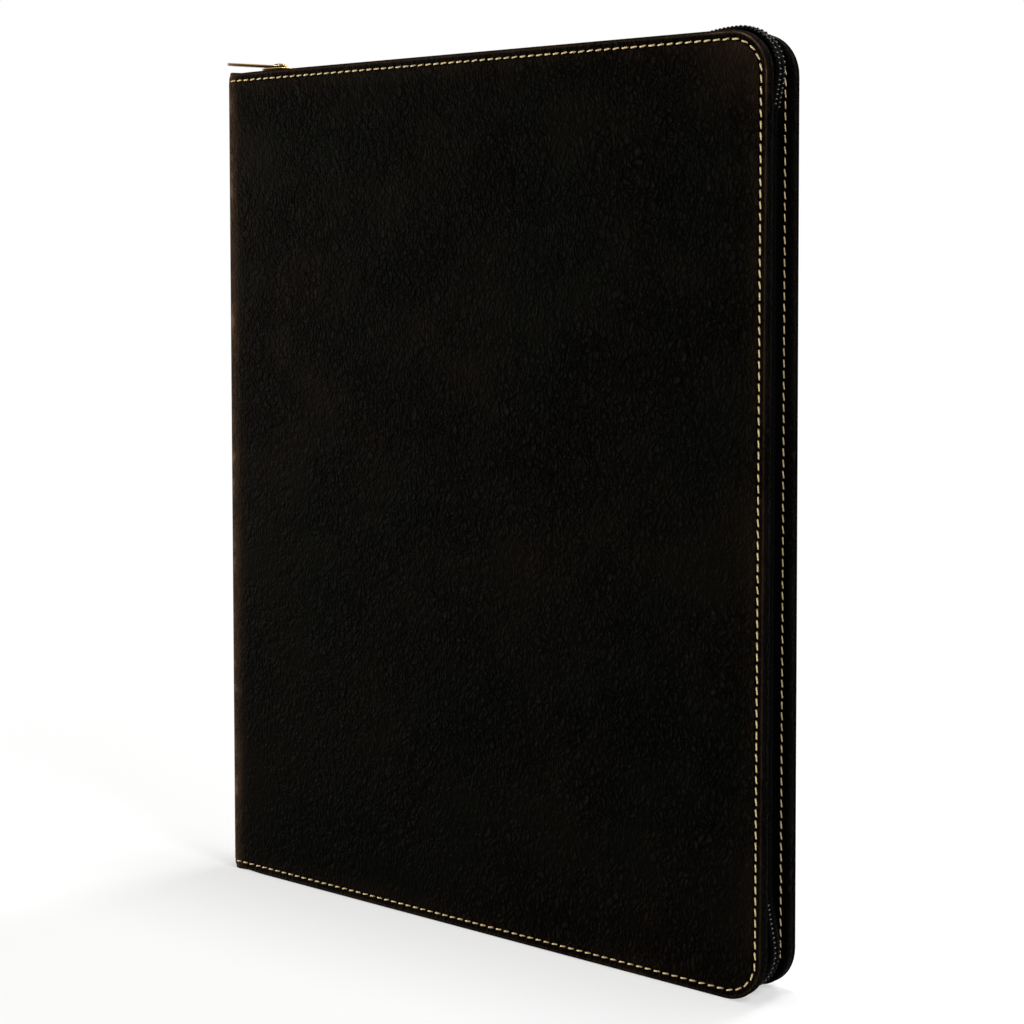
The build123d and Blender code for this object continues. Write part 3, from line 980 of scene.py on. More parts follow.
def sew(name: str, stations: Sequence[Station], width: float = 0.52) -> bpy.types.Object:
    """Sews a row of stitches.

    Args:
        name: The row's name.
        stations: Middle of each stitch on the surface.
        width: How wide the pressed thread is.

    Returns:
        The row, in case millimetres, dressed in thread.
    """
    length, rise, sunk, slant = 2.8, 0.46, 0.16, math.radians(8.0)
    end_round, end_length, unevenness = 0.24, 0.2, math.radians(2.5)
    bpy.ops.object.select_all(action="DESELECT")
    bpy.ops.mesh.primitive_cylinder_add(
        vertices=8, radius=0.5, depth=length, rotation=(0.0, math.pi / 2, 0.0)
    )
    unit = bpy.context.active_object
    unit.scale = (rise, width, 1.0)
    bpy.ops.object.transform_apply(location=True, rotation=True, scale=True)
    with editing(unit):
        pick(unit, Pick.EDGE, lambda edge: all(abs(v.co.x) > length / 2 - 0.01 for v in edge.verts))
        bpy.ops.mesh.bevel(offset=end_round, segments=2)
        pick(unit, Pick.VERT, lambda vert: abs(vert.co.x) > length / 2 - end_length)
        bpy.ops.transform.translate(value=(0.0, 0.0, -sunk))
    for loop, spot in zip(unit.data.loops, unit.data.uv_layers[0].data):
        place = unit.data.vertices[loop.vertex_index].co
        spot.uv = (math.atan2(place.z + 0.05, place.y) / math.pi, place.x / length + 0.5)
    rng = np.random.default_rng(THREAD_SEED)
    turns = slant + rng.normal(0.0, unevenness, len(stations))
    row = copies(unit, name, [station_matrix(s, t) for s, t in zip(stations, turns)])
    THREAD.dress(row)
    return row


def flat_row(points: Sequence[Sequence[float]], y: float, out: float, pitch: float = 3.5) -> list[Station]:
    """Stitches along straight lines on a panel that faces the front or the back.

    Args:
        points: Corners of the line, each u and z.
        y: Where the panel's surface lies.
        out: Direction of y out of the surface.
        pitch: Length of one stitch with its gap.

    Returns:
        The stations of the stitches.
    """
    stations = []
    for (u0, z0), (u1, z1) in zip(points, points[1:]):
        length = math.hypot(u1 - u0, z1 - z0)
        count = max(1, round(length / pitch))
        along = Vector(((u1 - u0) / length, 0.0, (z1 - z0) / length))
        for k in range(count):
            share = (k + 0.5) / count
            spot = Vector((u0 + share * (u1 - u0), y, z0 + share * (z1 - z0)))
            stations.append(Station(spot, along, Vector((0.0, out, 0.0))))
    return stations


@dataclass
class RimLine:
    """A line of the skin that runs round three edges of a cover, in millimetres."""

    inset: float
    depth: float
    wear_and_sheen: float
    on_panel: bool = False


@dataclass(frozen=True)
class Roll:
    """A rounded edge in the section of a cover: its centre's inset and depth, and its radius."""

    inset: float
    depth: float
    radius: float

    def line(self, angle: float, wear_and_sheen: float) -> RimLine:
        """The line on the roll at an angle, in degrees from straight out towards the outer face."""
        turn = math.radians(angle)
        inset = self.inset - self.radius * math.cos(turn)
        return RimLine(inset, self.depth - self.radius * math.sin(turn), wear_and_sheen)


@dataclass
class Cover:
    """One cover with its half of the spine: skin over foam and board, lining, hinge strip and stitching."""

    side: Side
    fill: float = 0.35
    outer_ply: Roll = Roll(0.45, 0.45, 0.45)
    inner_ply: Roll = Roll(0.58, 1.5, 0.5)
    turned_edge: Roll = Roll(0.88, 2.8, 0.8)
    bead_height: float = 0.2
    bead_inset: float = 0.85
    bead_width: float = 0.32
    groove_depth: float = 0.5
    groove_width: float = 0.4
    puff_height: float = 0.42
    puff_reach: float = 7.0
    wave_height: float = 0.16
    wave_length: float = 70.0
    panel_pitch: float = 3.5
    hinge_thickness: float = 1.6
    corner_wear_and_sheen_reach: float = 26.0
    curl_reach: float = 3.2
    curl_depth: float = 1.3
    stitch_pitch: float = 3.5
    tape_cover: float = 7.0
    inner_width: float = 0.42
    inner_lines: tuple[float, ...] = (10.0, 7.0, 4.5, 3.0, 2.0, 1.3)
    outer_lines: tuple[float, ...] = (
        0.7, 0.9, 1.15, 1.45, 1.8, 2.15, 2.45, 2.65, 2.8, 2.9, 3.0, 3.15, 3.4, 3.8, 4.5, 5.6, 7.2,
        9.2, 11.5, 14.0,
    )
    settle_reach: float = 14.0
    wave_start: float = 10.0
    # Shares of the burnish, partly real abrasion and partly a painted sheen on the rolls, the bead and the
    # spine fold.
    turned_wear_and_sheen: float = 0.03
    inner_wear_and_sheen: float = 0.06
    outer_wear_and_sheen: float = 0.35
    panel_wear_and_sheen: float = 0.16
    panel_wear_and_sheen_place: float = 4.0
    panel_wear_and_sheen_width: float = 3.6
    fold_wear_and_sheen: float = 0.85
    fold_wear_and_sheen_width: float = 3.2
    base_wear_and_sheen: float = 0.45
    # Painted light: the burnish grows towards the top, which is lit more.
    height_sheen: float = 0.25
    corner_wear_and_sheen: float = 0.6
    stitch_seat: float = 0.22
    inner_seat: float = 0.55
    lining_lap: float = 0.8
    lining_thickness: float = 0.5
    lining_proud: float = 0.04
    strip_thickness: float = 0.35

    def relief(self, inset: float) -> float:
        """How far the outer face lies below the flat: bead, groove under the stitches, padded panel."""
        depth = -self.bead_height * math.exp(-(((inset - self.bead_inset) / self.bead_width) ** 2))
        depth += self.groove_depth * math.exp(-(((inset - CASE.stitch_inset) / self.groove_width) ** 2))
        inside = max(inset - CASE.stitch_inset, 0.0)
        return depth - self.puff_height * (1 - math.exp(-inside / self.puff_reach))

    def rim_lines(self) -> list[RimLine]:
        """Lines of the rim, from the turned-in end round the two plies of the edge to the panel."""
        lines = [RimLine(inset, CASE.cover_thickness, self.turned_wear_and_sheen) for inset in self.inner_lines]
        lines += [self.turned_edge.line(angle, self.turned_wear_and_sheen) for angle in (-90, -60, -30, 0)]
        for angle in (0, 30, 60, 80):
            lines.append(self.inner_ply.line(angle, self.inner_wear_and_sheen * math.sin(math.radians(angle)) ** 2))
        between_plies = self.inner_ply.depth - self.inner_ply.radius - 0.07
        lines.append(RimLine(self.inner_ply.inset - 0.08, between_plies, 0.0))
        for angle in (-75, -45, -15, 15, 45, 70, 90):
            upwards = max(math.sin(math.radians(angle)), 0.0)
            lines.append(self.outer_ply.line(angle, self.outer_wear_and_sheen * upwards**6))
            lines[-1].depth += self.relief(lines[-1].inset) * upwards
        for inset in self.outer_lines:
            wear_and_sheen = math.exp(-(((inset - self.bead_inset) / self.bead_width) ** 2))
            if inset > CASE.stitch_inset + 0.5:
                beside = (inset - self.panel_wear_and_sheen_place) / self.panel_wear_and_sheen_width
                wear_and_sheen += self.panel_wear_and_sheen * math.exp(-(beside**2))
            lines.append(RimLine(inset, self.relief(inset), wear_and_sheen, True))
        return lines

    def wrap(self, across: float) -> tuple[float, float, Vector]:
        """Finds a place on the unrolled skin once it is wrapped round the spine.

        Args:
            across: Distance from the middle of the spine along the skin.

        Returns:
            u and y of the outer face, and the way inwards.
        """
        facing = self.side.value
        if across <= CASE.spine_half:
            return 0.0, facing * across, Vector((1.0, 0.0, 0.0))
        beyond = across - CASE.spine_half - CASE.fold_length
        if beyond >= 0:
            return CASE.fold_radius + beyond, facing * CASE.half_thickness, Vector((0.0, -facing, 0.0))
        angle = (across - CASE.spine_half) / CASE.fold_radius
        u = CASE.fold_radius * (1 - math.cos(angle))
        y = facing * (CASE.spine_half + CASE.fold_radius * math.sin(angle))
        return u, y, Vector((math.cos(angle), -facing * math.sin(angle), 0.0))

    def build_skin(self) -> bpy.types.Object:
        """Lays the skin over foam, board and spine, and turns it in along three edges.

        Returns:
            The skin, with its burnish, partly real abrasion and partly painted sheen, as an attribute.
        """
        lines = self.rim_lines()
        last = len(lines) - 1
        steps = [math.hypot(a.inset - b.inset, a.depth - b.depth) for a, b in zip(lines, lines[1:])]
        reach = [sum(steps[k:]) for k in range(len(lines))]
        fold_end = CASE.spine_half + CASE.fold_length
        panel_end = CASE.sheet_width - CASE.corner_radius
        spine_columns = np.linspace(0.0, CASE.spine_half, 6)[:-1]
        fold_columns = np.linspace(CASE.spine_half, fold_end, 13)[:-1]
        count = round((panel_end - fold_end) / self.panel_pitch)
        panel_columns = np.linspace(fold_end, panel_end, count)
        columns = [*spine_columns, *fold_columns, *panel_columns]
        radius, height = CASE.corner_radius, CASE.height
        rows = np.linspace(radius, height - radius, round((height - 2 * radius) / self.panel_pitch))
        column_count, row_count = len(columns) + last, len(rows) + 2 * last
        marks = [0.0, CASE.spine_half - 1, CASE.spine_half, fold_end + 1.4, fold_end + 3.4]
        thicknesses = [CASE.spine_thickness] * 2 + [self.hinge_thickness] * 2 + [CASE.cover_thickness]
        burnish: dict[tuple[int, int], float] = {}

        def shape(column: int, row: int) -> Vector:
            from_fore = column_count - 1 - column
            from_end = min(row, row_count - 1 - row)
            upper = row > row_count / 2
            line = lines[min(from_fore, from_end, last)]
            inset, depth = line.inset, line.depth
            across = columns[min(column, len(columns) - 1)]
            z = rows[min(max(row - last, 0), len(rows) - 1)]
            if from_fore < last and from_end < last:
                a, b = reach[from_fore], reach[from_end]
                angle = math.pi / 4 * b / a if a >= b else math.pi / 2 - math.pi / 4 * a / b
                across = CASE.sheet_width - radius + (radius - inset) * math.cos(angle)
                rise = (radius - inset) * math.sin(angle)
                z = height - radius + rise if upper else radius - rise
            elif from_fore < last:
                across = CASE.sheet_width - inset
            elif from_end < last:
                z = height - inset if upper else inset
            thick = float(np.interp(across, marks, thicknesses))
            settled = ease((across - fold_end) / self.settle_reach)
            depth = depth * thick / CASE.cover_thickness if depth > 0 else depth * settled
            if inset < self.curl_reach:
                round_over = 1 - math.sqrt(1 - (1 - inset / self.curl_reach) ** 2)
                depth += (1 - settled) * self.curl_depth * round_over
            u, y, inwards = self.wrap(across)
            if line.on_panel:
                spot = Vector((u / self.wave_length, self.side.value * 3.7, z / self.wave_length))
                inside = ease((inset - CASE.stitch_inset) / self.wave_start)
                depth -= self.wave_height * noise.noise(spot) * settled * inside
            # Burnish, partly real abrasion and partly painted sheen: strongest on the spine fold and round
            # the upper fore corner.
            fold = math.exp(-(((across - fold_end + 1.0) / self.fold_wear_and_sheen_width) ** 2))
            corner = math.exp(-((math.hypot(CASE.sheet_width - across, height - z) / self.corner_wear_and_sheen_reach) ** 2))
            # The rise of burnish towards the top is painted light.
            handled_and_lit = self.base_wear_and_sheen + self.height_sheen * z / height + self.corner_wear_and_sheen * corner
            cloud = self.panel_wear_and_sheen * corner if inset > CASE.stitch_inset + 0.5 else 0.0
            burnish[(column, row)] = min(1.0, max(line.wear_and_sheen * handled_and_lit + cloud, self.fold_wear_and_sheen * fold))
            return Vector((u, y, z)) + inwards * depth

        name = self.side.word + "_skin_leatherette"
        skin = add_sheet(name, column_count, row_count, shape)
        attribute = skin.data.attributes.new("burnish", "FLOAT", "POINT")
        order = sorted(burnish, key=lambda place: (place[1], place[0]))
        attribute.data.foreach_set("value", [burnish[place] for place in order])
        middle = (CASE.width / 2, self.side.value * CASE.half_thickness, CASE.height / 2)
        face_outwards(skin, middle, (0.0, self.side.value, 0.0))
        modify(skin, "SOLIDIFY", thickness=CASE.skin_thickness - 0.1, offset=-1.0)
        return complete(skin, COVER_LEATHERETTE, 60)

    def bend(self, obj: bpy.types.Object) -> None:
        """Bakes a piece's transform into its mesh, the same way for both covers; the point at the fold is
        worked out but not used.
        """
        facing = self.side.value
        at_cover = in_frame(CASE.fold_radius, facing * CASE.half_thickness, 0.0)
        if self.side is Side.FRONT:
            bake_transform(obj)
        else:
            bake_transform(obj)

    def outer_stitches(self) -> bpy.types.Object:
        """Sews the row in the groove of the skin, from the middle of the spine round to it again."""
        track = corner_track(0.0, CASE.sheet_width, CASE.stitch_inset)
        seat = self.groove_depth - self.stitch_seat
        stations = []
        for mark in track.spread(self.stitch_pitch):
            across, z, heading = track.at(mark)
            u, y, inwards = self.wrap(across)
            ahead = Vector((0.0, 0.0, self.side.value)).cross(inwards)
            along = ahead * math.cos(heading) + Vector((0.0, 0.0, math.sin(heading)))
            depth = seat if across > CASE.board_start else 0.4 * seat
            stations.append(Station(Vector((u, y, z)) + inwards * depth, along, -inwards))
        return sew(self.side.word + "_outer_stitching", stations)

    def inner_stitches(self) -> bpy.types.Object:
        """Sews the same row where it comes out on the zip tape, along the fore edge.

        At the ends the tape covers it.
        """
        facing = self.side.value
        track = corner_track(CASE.board_start + 2.0, CASE.width, CASE.stitch_inset)
        surface = CASE.inner_face - self.inner_seat
        stations = []
        for mark in track.spread(self.stitch_pitch):
            u, z, heading = track.at(mark)
            if abs(z - CASE.height / 2) > CASE.height / 2 - self.tape_cover:
                continue
            along = Vector((math.cos(heading), 0.0, math.sin(heading)))
            stations.append(Station(Vector((u, facing * surface, z)), along, Vector((0.0, -facing, 0.0))))
        return sew(self.side.word + "_inner_stitching", stations, self.inner_width)

    def build_lining(self) -> bpy.types.Object:
        """Cuts the lining that covers the board between the turned-in edges."""
        facing = self.side.value
        inset = CASE.turn_in - self.lining_lap
        level = CASE.inner_face - self.lining_proud
        near, far = facing * level, facing * (level + self.lining_thickness)
        low = (CASE.board_start + 0.4, min(near, far), inset)
        high = (CASE.width - inset, max(near, far), CASE.height - inset)
        lining = add_box(self.side.word + "_lining_cloth", low, high)
        with editing(lining):
            fore = CASE.width - inset - 0.01
            pick(lining, Pick.EDGE, lambda edge: abs(edge_way(edge).y) > 0.9 and edge_middle(edge).x > fore)
            bpy.ops.mesh.bevel(offset=CASE.corner_radius - inset, segments=10)
        round_edges(lining, 0.15)
        return complete(lining, LINING_CLOTH)

    def build_hinge_strip(self) -> bpy.types.Object:
        """Lays the strip of lining that bridges the fold on the inside, from the board to the spine."""
        facing = self.side.value
        lap = CASE.inner_face - 0.1
        floor = CASE.half_thickness - self.hinge_thickness - 0.12
        bend = floor - CASE.spine_half
        line = [(10.5, lap), (9.2, lap - 0.02), (8.4, lap + 0.02), (7.9, lap + 0.35), (7.75, floor - 0.4)]
        line += [(7.3, floor - 0.05), (6.0, floor), (5.0, floor)]
        for step in range(7):
            angle = math.pi / 2 * (1 - step / 7)
            line.append((CASE.fold_radius - bend * math.cos(angle), CASE.spine_half + bend * math.sin(angle)))
        spine_side = CASE.spine_half + 0.12
        line += [(2.1, spine_side + 0.15), (2.6, spine_side), (3.0, spine_side - 0.15)]
        line += [(3.12, spine_side - 0.6), (3.12, spine_side - 1.4)]
        ends = np.linspace(CASE.turn_in - 0.9, CASE.height - CASE.turn_in + 0.9, 40)

        def shape(column: int, row: int) -> Vector:
            u, away = line[column]
            return Vector((u, facing * away, ends[row]))

        strip = add_sheet(self.side.word + "_hinge_lining", len(line), len(ends), shape)
        face_outwards(strip, (6.0, facing * floor, CASE.height / 2), (0.0, -facing, 0.0))
        modify(strip, "SOLIDIFY", thickness=self.strip_thickness, offset=-1.0)
        return complete(strip, LINING_CLOTH, 60)

    def build(self) -> None:
        """Builds the cover's pieces; the inner stitching and the lining are hung on the cover's body."""
        word = self.side.word
        skin = self.build_skin()
        self.bend(skin)
        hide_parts(word + "_skin", word + "_foam")
        if self.side is Side.BACK:
            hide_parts("spine_skin")
        report(skin)
        outer = self.outer_stitches()
        settle(outer)
        self.bend(outer)
        report(outer)
        inner = self.inner_stitches()
        settle(inner)
        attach(inner, word)
        report(inner)
        lining = self.build_lining()
        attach(lining, word)
        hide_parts(word + "_lining")
        report(lining)
        strip = self.build_hinge_strip()
        self.bend(strip)
        report(strip)
        BOARD.dress(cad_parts[word + "_board"])


@dataclass
class Spine:
    """Inside of the spine: its lining and the pen loop."""

    loop_wall: float = 0.8
    loop_low: float = 137.5
    loop_high: float = 167.5
    loop_end: float = 13.25
    loop_half: float = 4.6
    loop_corner: float = 3.8
    foot_corner: float = 1.2

    def build_lining(self) -> bpy.types.Object:
        """Cuts the lining of the spine."""
        inset = CASE.turn_in - 0.8
        half = CASE.spine_half - 0.9
        low = (CASE.spine_thickness - 0.7, -half, inset)
        high = (CASE.spine_thickness + 0.03, half, CASE.height - inset)
        lining = add_box("spine_lining_cloth", low, high)
        round_edges(lining, 0.12)
        return complete(lining, LINING_CLOTH)

    def build_loop(self) -> bpy.types.Object:
        """Bends a band of elastic into the pen loop."""
        start = CASE.spine_thickness + 0.05
        low, high = (start, -self.loop_half, self.loop_low), (self.loop_end, self.loop_half, self.loop_high)
        loop = add_box("pen_loop_elastic", low, high)
        with editing(loop):
            pick(loop, Pick.FACE, lambda face: abs(face.normal.z) > 0.9)
            bpy.ops.mesh.delete(type="FACE")
            pick(
                loop,
                Pick.EDGE,
                lambda edge: abs(edge_way(edge).z) > 0.9 and edge_middle(edge).x > start + 1,
            )
            bpy.ops.mesh.bevel(offset=self.loop_corner, segments=8)
            pick(
                loop,
                Pick.EDGE,
                lambda edge: abs(edge_way(edge).z) > 0.9 and edge_middle(edge).x < start + 0.01,
            )
            bpy.ops.mesh.bevel(offset=self.foot_corner, segments=4)
        modify(loop, "SOLIDIFY", thickness=self.loop_wall, offset=-1.0)
        round_edges(loop, 0.2)
        return complete(loop, ELASTIC)

    def build(self) -> None:
        """Builds the spine's pieces and hangs them on the spine."""
        lining = self.build_lining()
        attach(lining, "spine")
        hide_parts("spine_lining")
        report(lining)
        loop = self.build_loop()
        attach(loop, "spine")
        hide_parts("pen_loop")
        report(loop)
        BOARD.dress(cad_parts["spine_board"])


@dataclass(frozen=True)
class ZipLine:
    """The line of the zip along the top, round the fore corners and along the bottom.

    It lies between the rims, deeper along the fore edge than at the ends, and swings outwards
    round the corners.
    """

    fore_recess: float = 5.6
    top_recess: float = 2.2
    bottom_recess: float = 2.7
    ease_radius: float = 40.0
    roll_radius: float = 60.0
    bend_radius: float = 12.7
    top_climb: float = math.radians(11.0)
    side_climb: float = math.radians(11.0)
    upper_recess: float = 0.1
    upper_side_recess: float = 3.0
    lower_side_recess: float = 2.5

    def climb(self, rise: float, radius: float, angle: float) -> tuple[float, float]:
        """Sizes of one swing outwards.

        Args:
            rise: How far the line moves out.
            radius: Radius of the bend at the crest.
            angle: How steep the climb is.

        Returns:
            The length of the straight climb, and how far the whole swing reaches along the run.
        """
        bends = self.ease_radius + radius
        length = (rise - bends * (1 - math.cos(angle))) / math.sin(angle)
        return length, bends * math.sin(angle) + length * math.cos(angle)

    def track(self, start: float) -> Track:
        """The line of the tape's outer face, from a start on the top run to the same place below."""
        top_length, top_reach = self.climb(
            self.top_recess - self.upper_recess, self.roll_radius, self.top_climb
        )
        upper_length, upper_reach = self.climb(
            self.fore_recess - self.upper_side_recess, self.bend_radius, self.side_climb
        )
        lower_length, lower_reach = self.climb(
            self.fore_recess - self.lower_side_recess, self.bend_radius, self.side_climb
        )
        crest = CASE.width - self.upper_side_recess - self.bend_radius
        between = CASE.height - self.upper_recess - self.bottom_recess - 2 * self.bend_radius
        side = between - upper_reach - lower_reach
        corner = math.pi / 2 + self.side_climb
        bent = (self.bend_radius * corner, corner)
        eased = (self.ease_radius * self.side_climb, -self.side_climb)
        runs = [
            (crest - top_reach - start, 0.0),
            (self.ease_radius * self.top_climb, -self.top_climb),
            (top_length, 0.0),
            (self.roll_radius * self.top_climb, self.top_climb),
            bent,
            (upper_length, 0.0),
            eased,
            (side, 0.0),
            eased,
            (lower_length, 0.0),
            bent,
            (CASE.width - self.lower_side_recess - self.bend_radius - start, 0.0),
        ]
        return Track((start, CASE.height - self.top_recess), runs)


@dataclass
class ZipHalf:
    """Half of the zip: woven tape sewn to one cover and the nylon coil on it."""

    side: Side
    line: ZipLine = field(default_factory=ZipLine)
    tape_start: float = 8.5
    tape_thickness: float = 0.5
    hem_edge: float = 1.1
    hem_end: float = 4.2
    coil_pitch: float = 1.47
    coil_inside: float = 0.17
    meshed_inside: float = -0.12
    wedge_run: float = 12.0
    coil_outside: float = 2.85
    tape_set_back: float = 0.03
    coil_height: float = 2.3
    wire: float = 0.72
    crown: float = 0.97
    turn_slant: float = math.radians(9.0)
    upper_highlight_reach: float = 24.0
    lower_highlight_reach: float = 31.0
    front_coil_start: float = 25.9
    back_coil_start: float = 9.9

    def inside(self, u: float, z: float) -> float:
        """Gap from the middle to the turns: room for the wedge, or less than none where they mesh."""
        meshed = u > CASE.width / 2 and z < CASE.height - self.wedge_run
        return self.meshed_inside if meshed else self.coil_inside

    def build_tape(self) -> bpy.types.Object:
        """Lays the tape from the sewn hem to its free edge under the coil."""
        facing = self.side.value
        track = self.line.track(self.tape_start)
        stations = np.linspace(0.0, track.length, round(track.length / 2.5))
        hem = CASE.inner_face - 0.03
        section = [(self.hem_edge, hem), (2.0, hem), (3.0, hem), (3.7, hem - 0.02)]
        wall = 9

        def shape(column: int, row: int) -> Vector:
            u, z, _ = track.at(stations[column])
            if row < len(section):
                inset, away = section[row]
            else:
                share = (row - len(section) + 1) / wall
                inset = self.hem_end + (rim_inset(u, z) - self.hem_end) * ease(min(1.0, share * 1.3))
                free = max(self.inside(u, z), 0.0) + self.tape_set_back
                away = hem - (hem - free) * share**1.3
            place_u, place_z = rim_place(u, z, inset)
            return Vector((place_u, facing * away, place_z))

        tape = add_sheet("zip_tape_cloth_" + self.side.word, len(stations), len(section) + wall, shape)
        hem_spot = (CASE.width - 2.0, facing * hem, CASE.height / 2)
        face_outwards(tape, hem_spot, (0.0, -facing, 0.0))
        modify(tape, "SOLIDIFY", thickness=self.tape_thickness, offset=1.0)
        return complete(tape, TAPE_CLOTH, 60)

    def build_coil(self) -> bpy.types.Object:
        """Winds the coil: a turn is modelled and copied along the tape, with a painted highlight on its crown
        round the bends.
        """
        facing = self.side.value
        half = (self.coil_outside - self.coil_inside) / 2
        thin = 0.3
        bpy.ops.object.select_all(action="DESELECT")
        bpy.ops.mesh.primitive_torus_add(
            major_radius=1.0,
            minor_radius=thin,
            major_segments=10,
            minor_segments=4,
            rotation=(0.0, math.pi / 2, 0.0),
        )
        turn = bpy.context.active_object
        bpy.ops.object.transform_apply(location=True, rotation=True, scale=True)
        rise = (self.coil_height - self.wire) / 2
        with editing(turn):
            bpy.ops.mesh.select_all(action="SELECT")
            size = (self.wire / (2 * thin), half / (1 + thin), self.coil_height / 2 / (1 + thin))
            bpy.ops.transform.resize(value=size)
        # UV x marks the crown of each turn for the painted highlight.
        top = self.crown * self.coil_height / 2
        for loop, spot in zip(turn.data.loops, turn.data.uv_layers[0].data):
            spot.uv = (1.0 if turn.data.vertices[loop.vertex_index].co.z > top else 0.0, 0.0)
        start = self.front_coil_start if self.side is Side.FRONT else self.back_coil_start
        track = self.line.track(self.tape_start)
        first = start - self.tape_start
        last = track.length - (self.back_coil_start - self.tape_start)
        count = int((last - first) / self.coil_pitch)
        shift = 0.0 if self.side is Side.FRONT else self.coil_pitch / 2
        straight, bent = [], []
        for k in range(count):
            u, z, heading = track.at(first + shift + k * self.coil_pitch)
            out = Vector((-math.sin(heading), 0.0, math.cos(heading)))
            along = Vector((math.cos(heading), 0.0, math.sin(heading)))
            middle = Vector((u, facing * (self.inside(u, z) + half), z)) + out * (self.coil_height / 2)
            # Turns round the upper and lower fore corners get the painted highlight.
            above = math.hypot(CASE.width - u, CASE.height - z) < self.upper_highlight_reach
            below = math.hypot(CASE.width - u, z) < self.lower_highlight_reach and self.side is Side.FRONT
            places = bent if above or below else straight
            places.append(station_matrix(Station(middle, along, out), self.turn_slant * facing))
        # A copy of the turn without the painted highlight.
        dull = turn.copy()
        dull.data = turn.data.copy()
        for spot in dull.data.uv_layers[0].data:
            spot.uv = (0.0, 0.0)
        turns = [copies(turn, "rubbed_turns", bent), copies(dull, "dull_turns", straight)]
        marks = np.linspace(first, last, round((last - first) / 1.5))
        sides = 8

        def shape(column: int, row: int) -> Vector:
            u, z, heading = track.at(marks[column])
            angle = 2 * math.pi * row / sides
            out = Vector((-math.sin(heading), 0.0, math.cos(heading)))
            reach = (self.coil_outside - 0.45 * self.wire - self.coil_inside) / 2
            gap = max(self.inside(u, z), self.tape_set_back)
            across = facing * (gap + reach) + reach * math.cos(angle)
            return Vector((u, across, z)) + out * (self.coil_height / 2 + rise * math.sin(angle))

        core = add_sheet("core", len(marks), sides + 1, shape)
        with editing(core):
            bpy.ops.mesh.select_all(action="SELECT")
            bpy.ops.mesh.remove_doubles(threshold=0.001)
            bpy.ops.mesh.normals_make_consistent(inside=False)
        for spot in core.data.uv_layers[0].data:
            spot.uv = (0.0, 0.0)
        smooth(core, 60)
        coil = join("zip_coil_nylon_" + self.side.word, *turns, core)
        settle(coil)
        COIL_NYLON.dress(coil)
        return coil

    def build(self) -> None:
        """Builds the half and hangs it on its cover."""
        word = self.side.word
        tape = self.build_tape()
        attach(tape, word)
        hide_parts("zip_tape_" + word)
        report(tape)
        coil = self.build_coil()
        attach(coil, word)
        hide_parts("zip_coil_" + word)
        report(coil)


